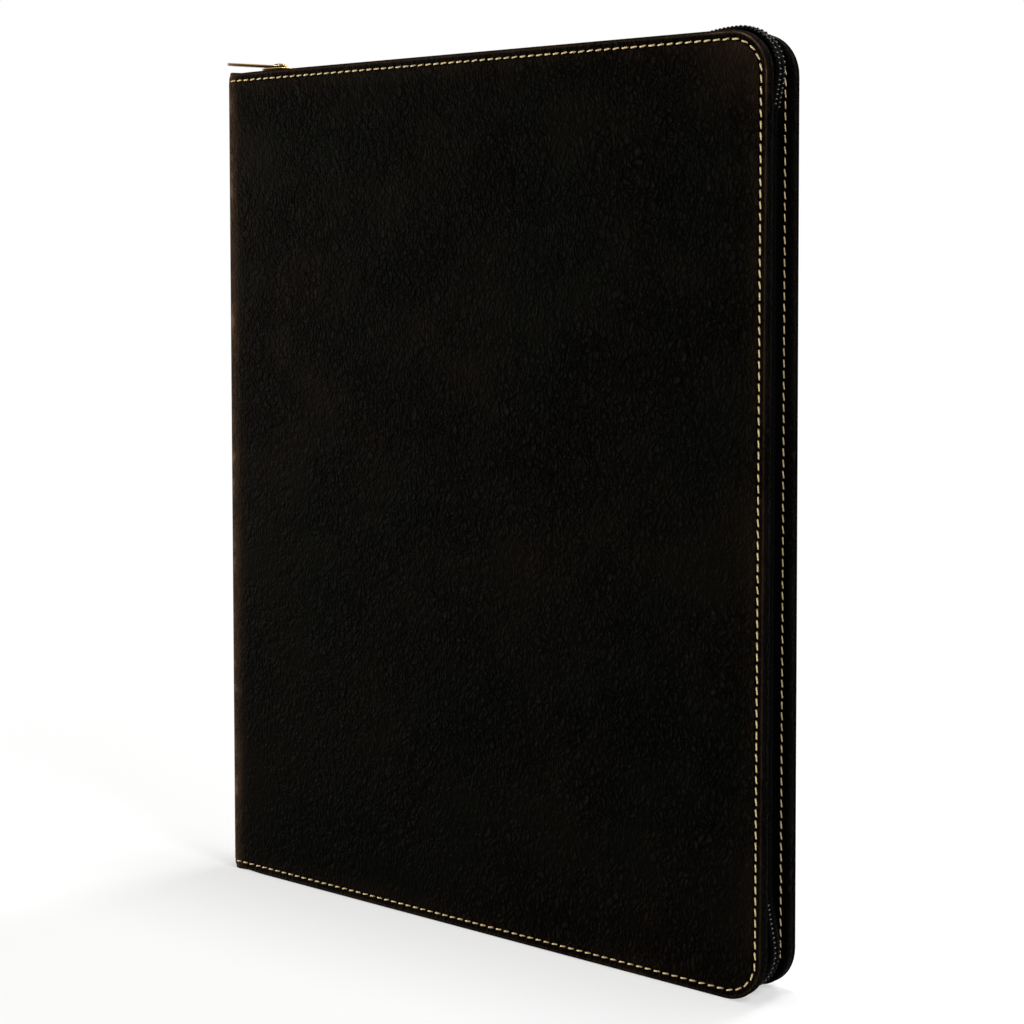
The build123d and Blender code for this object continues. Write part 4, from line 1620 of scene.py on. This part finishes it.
@dataclass
class ZipMetal:
    """Brass pieces of the zip: stops, slider, bridge and pull tab."""

    slider_start: float = 13.75
    slider_length: float = 11.5
    slider_half: float = 4.55
    base_half: float = 4.0
    slider_corner: float = 2.6
    taper: float = 0.82
    top_plate: tuple[float, float] = (305.45, 306.6)
    base_plate: tuple[float, float] = (300.85, 301.85)
    flange: tuple[float, float] = (303.15, 305.5)
    flange_width: float = 1.0
    wedge_half: float = 0.14
    wedge_length: float = 3.6
    bridge_length: float = 9.2
    bridge_top: float = 308.45
    bridge_bar: float = 0.42
    bridge_widening: float = 1.15
    foot: tuple[float, float, float] = (0.75, 4.3, 0.6)
    foot_lean: float = 1.2
    pivot_height: float = 307.15
    pull_length: float = 26.0
    pull_half: float = 3.3
    neck_half: float = 2.9
    widest_share: float = 0.62
    tip_corner: float = 2.4
    neck_corner: float = 1.4
    pull_thickness: float = 1.1
    pull_tilt: float = math.radians(5.5)
    eye: tuple[float, float, float] = (0.45, 5.8, 1.3)
    stop_start: float = 9.5
    stop_length: float = 2.5
    stop_height: float = 1.45
    stop_sides: tuple[float, float] = (0.15, 3.45)
    stop_levels: tuple[float, float] = (1.05, 1.55)

    @property
    def slider_middle(self) -> float:
        """Middle of the slider along the top run."""
        return self.slider_start + self.slider_length / 2

    def build_stop(self, name: str, level: float) -> bpy.types.Object:
        """Crimps one stop over the end of the coil."""
        low = (self.stop_start, self.stop_sides[0], level - self.stop_height)
        high = (self.stop_start + self.stop_length, self.stop_sides[1], level + self.stop_height)
        stop = add_box(name, low, high)
        with editing(stop):
            pick(stop, Pick.EDGE, lambda edge: abs(edge_way(edge).x) > 0.9)
            bpy.ops.mesh.bevel(offset=0.8, segments=4)
            pick(stop, Pick.FACE, lambda face: abs(face.normal.x) > 0.9)
            bpy.ops.mesh.inset(thickness=0.3, depth=0.25)
        round_edges(stop, 0.12)
        return complete(stop, BRASS)

    def build_plate(self, name: str, level: tuple[float, float], half: float) -> bpy.types.Object:
        """Shapes one plate of the slider: rounded, and narrower where the two halves leave it joined."""
        low = (self.slider_start, -half, level[0])
        high = (self.slider_start + self.slider_length, half, level[1])
        plate = add_box(name, low, high)
        with editing(plate):
            far = self.slider_start + self.slider_length - 0.01
            pick(plate, Pick.VERT, lambda vert: vert.co.x > far)
            bpy.ops.transform.resize(value=(1.0, self.taper, 1.0), center_override=(far, 0.0, level[0]))
            pick(plate, Pick.EDGE, lambda edge: abs(edge_way(edge).z) > 0.9)
            bpy.ops.mesh.bevel(offset=self.slider_corner, segments=6)
        round_edges(plate, 0.35, 3)
        return plate

    def build_slider(self) -> bpy.types.Object:
        """Builds the slider from its plates, flanges and wedge."""
        parts = [
            self.build_plate("top", self.top_plate, self.slider_half),
            self.build_plate("base", self.base_plate, self.base_half),
        ]
        begin, end = self.slider_start + 2.0, self.slider_start + self.slider_length - 2.4
        for facing in (-1, 1):
            insets = (0.15, self.flange_width)
            edges = sorted(facing * (self.slider_half - inset) for inset in insets)
            wall = add_box("flange", (begin, edges[0], self.flange[0]), (end, edges[1], self.flange[1]))
            round_edges(wall, 0.25)
            parts.append(wall)
        low = (self.slider_start + 0.3, -self.wedge_half, self.base_plate[1] - 0.2)
        high = (self.slider_start + self.wedge_length, self.wedge_half, self.top_plate[0] + 0.2)
        wedge = add_box("wedge", low, high)
        round_edges(wedge, 0.06)
        slider = join("zip_slider_brass", *parts, wedge)
        return complete(slider, BRASS)

    def build_bridge(self) -> bpy.types.Object:
        """Spins a round bar into the arch that holds the pull, and fills its ends with thick feet."""
        bar = self.bridge_bar
        half = self.bridge_length / 2 - bar
        rise = self.bridge_top - self.top_plate[1] - bar
        bpy.ops.object.select_all(action="DESELECT")
        bpy.ops.mesh.primitive_circle_add(
            vertices=12, radius=bar, location=(half, 0.0, 0.0), fill_type="NGON"
        )
        bridge = bpy.context.active_object
        bpy.ops.object.transform_apply(location=True, rotation=True, scale=True)
        with editing(bridge):
            bpy.ops.mesh.select_all(action="SELECT")
            bpy.ops.mesh.spin(steps=18, angle=math.pi, center=(0.0, 0.0, 0.0), axis=(0.0, -1.0, 0.0))
            bpy.ops.mesh.select_all(action="SELECT")
            bpy.ops.mesh.remove_doubles(threshold=0.001)
            bpy.ops.mesh.normals_make_consistent(inside=False)
            if max(v.co.z for v in bmesh.from_edit_mesh(bridge.data).verts) < 1.0:
                bpy.ops.transform.resize(value=(1.0, 1.0, -1.0), center_override=(0.0, 0.0, 0.0))
                bpy.ops.mesh.normals_make_consistent(inside=False)
            tallest = max(v.co.z for v in bmesh.from_edit_mesh(bridge.data).verts)
            size = (1.0, self.bridge_widening, (rise + bar) / tallest)
            bpy.ops.transform.resize(value=size, center_override=(0.0, 0.0, 0.0))
            pick(bridge, Pick.VERT, lambda vert: vert.co.z < 0.01)
            bpy.ops.transform.translate(value=(0.0, 0.0, -0.3))
            bpy.ops.mesh.select_all(action="SELECT")
            bpy.ops.transform.translate(value=(self.slider_middle, 0.0, self.top_plate[1]))
        feet = []
        for side in (-1, 1):
            ends = sorted(self.slider_middle + side * away for away in self.foot[:2])
            low = (ends[0], -self.foot[2], self.top_plate[1] - 0.2)
            foot = add_box("foot", low, (ends[1], self.foot[2], self.bridge_top - bar))
            with editing(foot):
                corner = self.slider_middle + side * (self.foot[1] - 0.01)
                pick(
                    foot,
                    Pick.VERT,
                    lambda vert: vert.co.z > self.top_plate[1] and side * (vert.co.x - corner) > 0,
                )
                bpy.ops.transform.translate(value=(-side * self.foot_lean, 0.0, 0.0))
            round_edges(foot, 0.2)
            feet.append(foot)
        bridge = join("zip_bridge_brass", bridge, *feet)
        return complete(bridge, BRASS, 60)

    def build_pull(self) -> bpy.types.Object:
        """Stamps the pull: a tapered tab with an eye at its neck and a rounded tip."""
        back, length = self.eye[0], self.pull_length
        eye_end, eye_half = self.eye[1], self.eye[2]
        neck_end = eye_end + self.neck_half
        low = (-back, -self.neck_half, -self.pull_thickness / 2)
        pull = add_box("pull_tab_brass", low, (neck_end, self.neck_half, self.pull_thickness / 2))
        with editing(pull):
            pick(pull, Pick.FACE, lambda face: face.normal.x > 0.9)
            widest = length * self.widest_share
            bpy.ops.mesh.extrude_region_move(TRANSFORM_OT_translate={"value": (widest - neck_end, 0.0, 0.0)})
            widen = self.pull_half / self.neck_half
            bpy.ops.transform.resize(value=(1.0, widen, 1.0), center_override=(widest, 0.0, 0.0))
            bpy.ops.mesh.extrude_region_move(TRANSFORM_OT_translate={"value": (length - widest, 0.0, 0.0)})
            bpy.ops.mesh.select_all(action="DESELECT")
            pick(
                pull,
                Pick.EDGE,
                lambda edge: abs(edge_way(edge).z) > 0.9 and edge_middle(edge).x > length - 0.01,
            )
            bpy.ops.mesh.bevel(offset=self.tip_corner, segments=8)
            pick(pull, Pick.EDGE, lambda edge: abs(edge_way(edge).z) > 0.9 and edge_middle(edge).x < 0.0)
            bpy.ops.mesh.bevel(offset=self.neck_corner, segments=5)
        cutter = add_box("eye", (back, -eye_half, -2.0), (eye_end, eye_half, 2.0))
        with editing(cutter):
            pick(cutter, Pick.EDGE, lambda edge: abs(edge_way(edge).z) > 0.9)
            bpy.ops.mesh.bevel(offset=1.0, segments=5)
        modify(pull, "BOOLEAN", operation="DIFFERENCE", object=cutter, solver="EXACT")
        bpy.data.objects.remove(cutter)
        round_edges(pull, 0.4, 3)
        smooth(pull)
        turn = Matrix.Rotation(math.pi, 4, "Z")
        lift = Matrix.Rotation(self.pull_tilt, 4, "Y")
        pivot = Matrix.Translation((self.slider_middle, 0.0, self.pivot_height))
        pull.data.transform(pivot @ lift @ turn)
        settle(pull)
        BRASS.dress(pull)
        return pull

    def build(self) -> None:
        """Builds the brass pieces and hangs each on its body."""
        slider, bridge, pull = self.build_slider(), self.build_bridge(), self.build_pull()
        top = self.build_stop("zip_stop_top_brass", CASE.height - self.stop_levels[0])
        bottom = self.build_stop("zip_stop_bottom_brass", self.stop_levels[1])
        for piece, body, node in (
            (slider, "slider", "slider_body"),
            (bridge, "slider", "slider_bridge"),
            (pull, "pull", "pull_tab"),
            (top, "back", "zip_top_stop"),
            (bottom, "back", "zip_bottom_stop"),
        ):
            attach(piece, body)
            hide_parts(node)
            report(piece)


@dataclass
class FrontPockets:
    """Document pocket and card pockets on the inside of the front cover."""

    thickness: float = 0.7
    layer_gap: float = 0.05
    start: float = 14.5
    base: float = 10.0
    height: float = 158.0
    corner: float = 5.0
    thumb_radius: float = 22.0
    hem: float = 5.0
    hem_rise: float = 0.25
    card_start: float = 38.0
    card_width: float = 96.0
    card_base: float = 182.0
    card_heights: tuple[float, ...] = (78.0, 64.0, 50.0)
    card_names: tuple[str, ...] = ("upper", "middle", "lower")
    card_corner: float = 4.0
    card_stitch: float = 3.0
    seam: float = 2.2

    def build_panel(
        self, name: str, low: Sequence[float], high: Sequence[float], corner: float, upper: bool
    ) -> bpy.types.Object:
        """Cuts a pocket panel, rounds two corners and turns a hem along its opening.

        Args:
            name: The panel's name.
            low: Lowest corner.
            high: Highest corner.
            corner: Radius of the rounded corners.
            upper: Whether the upper corners are rounded, or else the lower ones.

        Returns:
            The panel, in case millimetres.
        """
        panel = add_box(name, low, high)
        middle = (low[2] + high[2]) / 2
        with editing(panel):
            pick(
                panel,
                Pick.EDGE,
                lambda edge: abs(edge_way(edge).y) > 0.9 and (edge_middle(edge).z > middle) == upper,
            )
            bpy.ops.mesh.bevel(offset=corner, segments=8)
            bpy.ops.mesh.select_all(action="SELECT")
            bpy.ops.mesh.bisect(
                plane_co=(0.0, 0.0, high[2] - self.hem), plane_no=(0.0, 0.0, 1.0), threshold=0.0001
            )
            pick(
                panel,
                Pick.FACE,
                lambda face: face.normal.y > 0.9 and face.calc_center_median().z > high[2] - self.hem,
            )
            bpy.ops.mesh.extrude_region_move(TRANSFORM_OT_translate={"value": (0.0, self.hem_rise, 0.0)})
        return panel

    def build_document_pocket(self) -> bpy.types.Object:
        """Builds the large pocket, with a notch for the thumb."""
        face = -CASE.inner_face + self.thickness
        low = (self.start, -CASE.inner_face + 0.01, self.base)
        high = (CASE.width - CASE.turn_in, face, self.base + self.height)
        panel = self.build_panel("document_pocket_leatherette", low, high, self.corner, False)
        middle = (low[0] + high[0]) / 2
        bpy.ops.object.select_all(action="DESELECT")
        bpy.ops.mesh.primitive_cylinder_add(
            vertices=64,
            radius=self.thumb_radius,
            depth=20.0,
            location=(middle, face, high[2] + self.thumb_radius / 2),
            rotation=(math.pi / 2, 0.0, 0.0),
        )
        cutter = bpy.context.active_object
        modify(panel, "BOOLEAN", operation="DIFFERENCE", object=cutter, solver="EXACT")
        bpy.data.objects.remove(cutter)
        round_edges(panel, 0.12)
        smooth(panel)
        return panel

    def build(self) -> None:
        """Builds the pockets and their stitching and hangs them on the front cover."""
        rows: list[Station] = []
        pocket = self.build_document_pocket()
        face = -CASE.inner_face + self.thickness
        end, seam = CASE.width - CASE.turn_in, self.seam
        top = self.base + self.height
        left, right, bottom = self.start + seam, end - seam, self.base + seam
        rows += flat_row([(left, top - 1.5), (left, bottom), (right, bottom), (right, top - 1.5)], face, 1.0)
        panels = [(pocket, "document_pocket")]
        for order, (word, height) in enumerate(zip(self.card_names, self.card_heights)):
            low_y = -CASE.inner_face + order * (self.thickness + self.layer_gap) + 0.01
            low = (self.card_start, low_y, self.card_base)
            high = (self.card_start + self.card_width, low_y + self.thickness - 0.02, self.card_base + height)
            panel = self.build_panel("card_pocket_leatherette_" + word, low, high, self.card_corner, True)
            round_edges(panel, 0.12)
            smooth(panel)
            panels.append((panel, "card_pocket_" + word))
            hem_face = high[1] + self.hem_rise
            hem_line = high[2] - self.hem + 1.0
            ends = [(low[0] + 3.0, hem_line), (high[0] - 3.0, hem_line)]
            rows += flat_row(ends, hem_face, 1.0, self.card_stitch)
            if order == len(self.card_names) - 1:
                edge, foot = high[2] - self.hem - 1.0, low[2] + seam
                near, far = low[0] + seam, high[0] - seam
                corners = [(near, edge), (near, foot), (far, foot), (far, edge)]
                rows += flat_row(corners, high[1], 1.0, self.card_stitch)
        for panel, node in panels:
            settle(panel)
            POCKET_LEATHERETTE.dress(panel)
            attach(panel, "front")
            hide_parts(node)
            report(panel)
        stitching = sew("pocket_stitching", rows)
        settle(stitching)
        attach(stitching, "front")
        report(stitching)


@dataclass
class Notepad:
    """Notepad and the panel that holds its backing, on the inside of the back cover."""

    start: float = 14.5
    end: float = 230.5
    base: float = 13.0
    top: float = 292.0
    sheets: tuple[float, float] = (-2.0, 3.95)
    binding: tuple[float, float] = (-2.35, 5.85)
    binding_base: float = 272.0
    binding_top: float = 292.35
    panel: tuple[float, float] = (4.0, 5.88)
    panel_low: tuple[float, float] = (12.7, 11.2)
    panel_high: tuple[float, float] = (232.3, 194.2)
    panel_thickness: float = 0.65
    seam: float = 2.2
    curl: float = 1.8
    curl_reach: float = 95.0
    leaf_thickness: float = 0.1
    binding_thickness: float = 0.28

    def build_sheets(self) -> bpy.types.Object:
        """Stacks the block of sheets, trimmed square and a little rounded at the edges."""
        low = (self.start, self.sheets[0] + 0.25, self.base)
        high = (self.end, self.sheets[1], self.top)
        block = add_box("notepad_sheets_paper", low, high)
        round_edges(block, 0.12)
        complete(block, PAPER)
        block.data.materials.append(PAPER_EDGES.material())
        for face in block.data.polygons:
            face.material_index = 0 if abs(face.normal.y) > 0.7 else 1
        return block

    def build_leaf(self) -> bpy.types.Object:
        """Lays the top leaf, its lower fore corner lifted a little from use."""
        columns = np.linspace(self.start + 0.1, self.end - 0.15, 40)
        rows = np.linspace(self.base + 0.2, self.binding_base + 5, 48)

        def shape(column: int, row: int) -> Vector:
            u, z = columns[column], rows[row]
            away = math.hypot(self.end - u, 0.8 * (z - self.base))
            lift = self.curl * max(0.0, 1 - away / self.curl_reach) ** 2.2
            return Vector((u, self.sheets[0] + 0.12 - lift, z))

        leaf = add_sheet("notepad_top_leaf", len(columns), len(rows), shape)
        face_outwards(leaf, (self.start, self.sheets[0], self.top / 2), (0.0, -1.0, 0.0))
        modify(leaf, "SOLIDIFY", thickness=self.leaf_thickness, offset=-1.0)
        return complete(leaf, PAPER, 60)

    def build_binding(self) -> bpy.types.Object:
        """Folds the binding strip over the head of the pad."""
        low = (self.start, self.binding[0], self.binding_base)
        high = (self.end, self.binding[1], self.binding_top)
        strip = add_box("notepad_binding_cloth", low, high)
        with editing(strip):
            pick(strip, Pick.FACE, lambda face: abs(face.normal.x) > 0.9 or face.normal.z < -0.9)
            bpy.ops.mesh.delete(type="FACE")
            pick(
                strip,
                Pick.EDGE,
                lambda edge: abs(edge_way(edge).x) > 0.9 and edge_middle(edge).z > self.top,
            )
            bpy.ops.mesh.bevel(offset=0.4, segments=3)
        modify(strip, "SOLIDIFY", thickness=self.binding_thickness, offset=-1.0)
        return complete(strip, BINDING_CLOTH)

    def build_panel(self) -> bpy.types.Object:
        """Builds the slot panel: a front with a turned hem, and a rim on three sides."""
        low = (self.panel_low[0], self.panel[0], self.panel_low[1])
        high = (self.panel_high[0], self.panel[1], self.panel_high[1])
        panel = add_box("pad_slot_panel_leatherette", low, high)
        with editing(panel):
            pick(panel, Pick.FACE, lambda face: face.normal.y > 0.9 or face.normal.z > 0.9)
            bpy.ops.mesh.delete(type="FACE")
            pick(
                panel,
                Pick.EDGE,
                lambda edge: edge_middle(edge).y < self.panel[0] + 0.01 and not edge.is_boundary,
            )
            bpy.ops.mesh.bevel(offset=0.5, segments=3)
        modify(panel, "SOLIDIFY", thickness=self.panel_thickness, offset=-1.0)
        round_edges(panel, 0.12)
        return complete(panel, POCKET_LEATHERETTE)

    def build(self) -> None:
        """Builds the pad and hangs it on the back cover."""
        left, right = self.panel_low[0] + self.seam, self.panel_high[0] - self.seam
        foot, head = self.panel_low[1] + self.seam, self.panel_high[1] - self.seam
        line = [(left, head), (left, foot), (right, foot), (right, head), (left, head)]
        stitching = sew("slot_panel_stitching", flat_row(line, self.panel[0], -1.0))
        settle(stitching)
        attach(stitching, "back")
        report(stitching)
        for piece, node, slot in (
            (self.build_panel(), "pad_slot_panel", "pocket_leatherette"),
            (self.build_sheets(), "notepad_sheets", "paper"),
            (self.build_leaf(), None, "paper"),
            (self.build_binding(), "notepad_binding", "binding_tape"),
        ):
            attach(piece, "back")
            if node:
                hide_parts(node)
            report(piece)
        BOARD.dress(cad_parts["notepad_backing"])


@dataclass(frozen=True)
class SoftBox:
    """A soft studio lamp: where it hangs, how large and how strong it is."""

    name: str
    place: tuple[float, float, float]
    size: float
    power: float
    colour: str = "#ffffff"


@dataclass
class Studio:
    """Pale floor, white surroundings, soft lamps and the camera."""

    camera_place: tuple[float, float, float] = (571.3, -541.8, 230.6)
    camera_yaw: float = -39.0
    camera_pitch: float = 3.35
    focal_pixels: float = 2024.7
    image_width: float = 1024.0
    sensor: float = 36.0
    shift: float = -0.12
    clip: tuple[float, float] = (0.01, 50.0)
    aim: tuple[float, float, float] = (0.0, 0.0, 0.15)
    lamps: tuple[SoftBox, ...] = (
        SoftBox("key_softbox", (-2.6, -1.25, 0.3), 0.9, 90.0, "#fff6ea"),
        SoftBox("fore_softbox", (0.75, -0.2, 0.8), 0.3, 4.5),
        SoftBox("top_softbox", (0.1, 0.1, 1.4), 0.35, 10.0),
        SoftBox("back_softbox", (0.2, 1.3, 1.7), 0.7, 16.0),
    )
    ambient: float = 0.22
    floor_size: float = 12.0
    floor_level: float = -0.0002
    floor_shares: tuple[float, float] = (0.55, 1.0)
    floor_distances: tuple[float, float] = (0.2, 0.5)

    def build_floor(self) -> None:
        """Lays a wide pale floor that keeps the shadow."""
        bpy.ops.object.select_all(action="DESELECT")
        bpy.ops.mesh.primitive_plane_add(size=self.floor_size, location=(0.0, 0.0, self.floor_level))
        floor = bpy.context.active_object
        floor.name = "studio_floor"
        made = bpy.data.materials.new("matt_white_paper_sweep")
        made.use_nodes = True
        tree = made.node_tree
        tree.nodes.clear()
        matt = add_node(tree, "BsdfDiffuse", {"Color": linear("#f4f4f4")})
        glow = add_node(tree, "Emission", {"Color": linear("#ffffff"), "Strength": 1.0})
        path = add_node(tree, "LightPath")
        seen = add_node(
            tree,
            "Math",
            {0: path.outputs["Is Camera Ray"], 1: path.outputs["Is Glossy Ray"]},
            operation="MAXIMUM",
        )
        place = add_node(tree, "TexCoord").outputs["Object"]
        away = add_node(tree, "VectorMath", {0: place}, operation="LENGTH")
        near, far = self.floor_distances
        fading = add_node(
            tree,
            "MapRange",
            {
                "Value": away.outputs["Value"],
                "From Min": near,
                "From Max": far,
                "To Min": self.floor_shares[0],
                "To Max": self.floor_shares[1],
            },
            interpolation_type="SMOOTHSTEP",
        )
        share = add_node(tree, "Math", {0: seen.outputs[0], 1: fading.outputs[0]}, operation="MULTIPLY")
        both = add_node(tree, "MixShader", {0: share.outputs[0], 1: matt.outputs[0], 2: glow.outputs[0]})
        add_node(tree, "OutputMaterial", {"Surface": both.outputs[0]})
        floor.data.materials.append(made)

    def build_world(self) -> None:
        """Surrounds the scene with white for the camera and reflections, and dimmer light elsewhere."""
        world = bpy.data.worlds.new("studio")
        bpy.context.scene.world = world
        world.use_nodes = True
        tree = world.node_tree
        tree.nodes.clear()
        path = add_node(tree, "LightPath")
        first = add_node(
            tree,
            "Math",
            {0: path.outputs["Is Camera Ray"], 1: path.outputs["Is Glossy Ray"]},
            operation="MAXIMUM",
        )
        seen = add_node(
            tree, "Math", {0: first.outputs[0], 1: path.outputs["Is Transmission Ray"]}, operation="MAXIMUM"
        )
        strength = add_node(
            tree, "MapRange", {"Value": seen.outputs[0], "To Min": self.ambient, "To Max": 1.0}
        )
        sky = add_node(tree, "Background", {"Color": linear("#ffffff"), "Strength": strength.outputs[0]})
        add_node(tree, "OutputWorld", {"Surface": sky.outputs[0]})

    def build_lamps(self) -> None:
        """Hangs the lamps and turns them to the case."""
        for box in self.lamps:
            lamp = bpy.data.lights.new(box.name, "AREA")
            lamp.shape = "DISK"
            lamp.size = box.size
            lamp.energy = box.power
            lamp.color = linear(box.colour)[:3]
            holder = bpy.data.objects.new(box.name, lamp)
            bpy.context.scene.collection.objects.link(holder)
            holder.location = box.place
            holder.rotation_euler = (Vector(self.aim) - Vector(box.place)).to_track_quat("-Z", "Y").to_euler()

    def build_camera(self) -> None:
        """Stands the camera where the photograph was taken from."""
        camera = bpy.data.cameras.new("photo_camera")
        camera.sensor_width = self.sensor
        camera.lens = self.focal_pixels / self.image_width * self.sensor
        camera.shift_y = self.shift
        camera.clip_start, camera.clip_end = self.clip
        holder = bpy.data.objects.new("photo_camera", camera)
        bpy.context.scene.collection.objects.link(holder)
        yaw, pitch = math.radians(self.camera_yaw), math.radians(self.camera_pitch)
        ahead = Vector((math.sin(yaw) * math.cos(pitch), math.cos(yaw) * math.cos(pitch), -math.sin(pitch)))
        holder.location = in_frame(*self.camera_place)
        holder.rotation_euler = ahead.to_track_quat("-Z", "Y").to_euler()
        bpy.context.scene.camera = holder

    def build(self) -> None:
        """Builds the studio round the case."""
        self.build_floor()
        self.build_world()
        self.build_lamps()
        self.build_camera()
        bpy.context.scene.view_settings.view_transform = "Standard"


def main() -> None:
    """Builds every sub-assembly in order."""
    logging.basicConfig(level=logging.INFO, format="%(name)s %(message)s")
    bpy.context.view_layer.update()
    for side in Side:
        Cover(side).build()
    Spine().build()
    for side in Side:
        ZipHalf(side).build()
    ZipMetal().build()
    FrontPockets().build()
    Notepad().build()
    Studio().build()


if __name__ == "__main__":
    main()
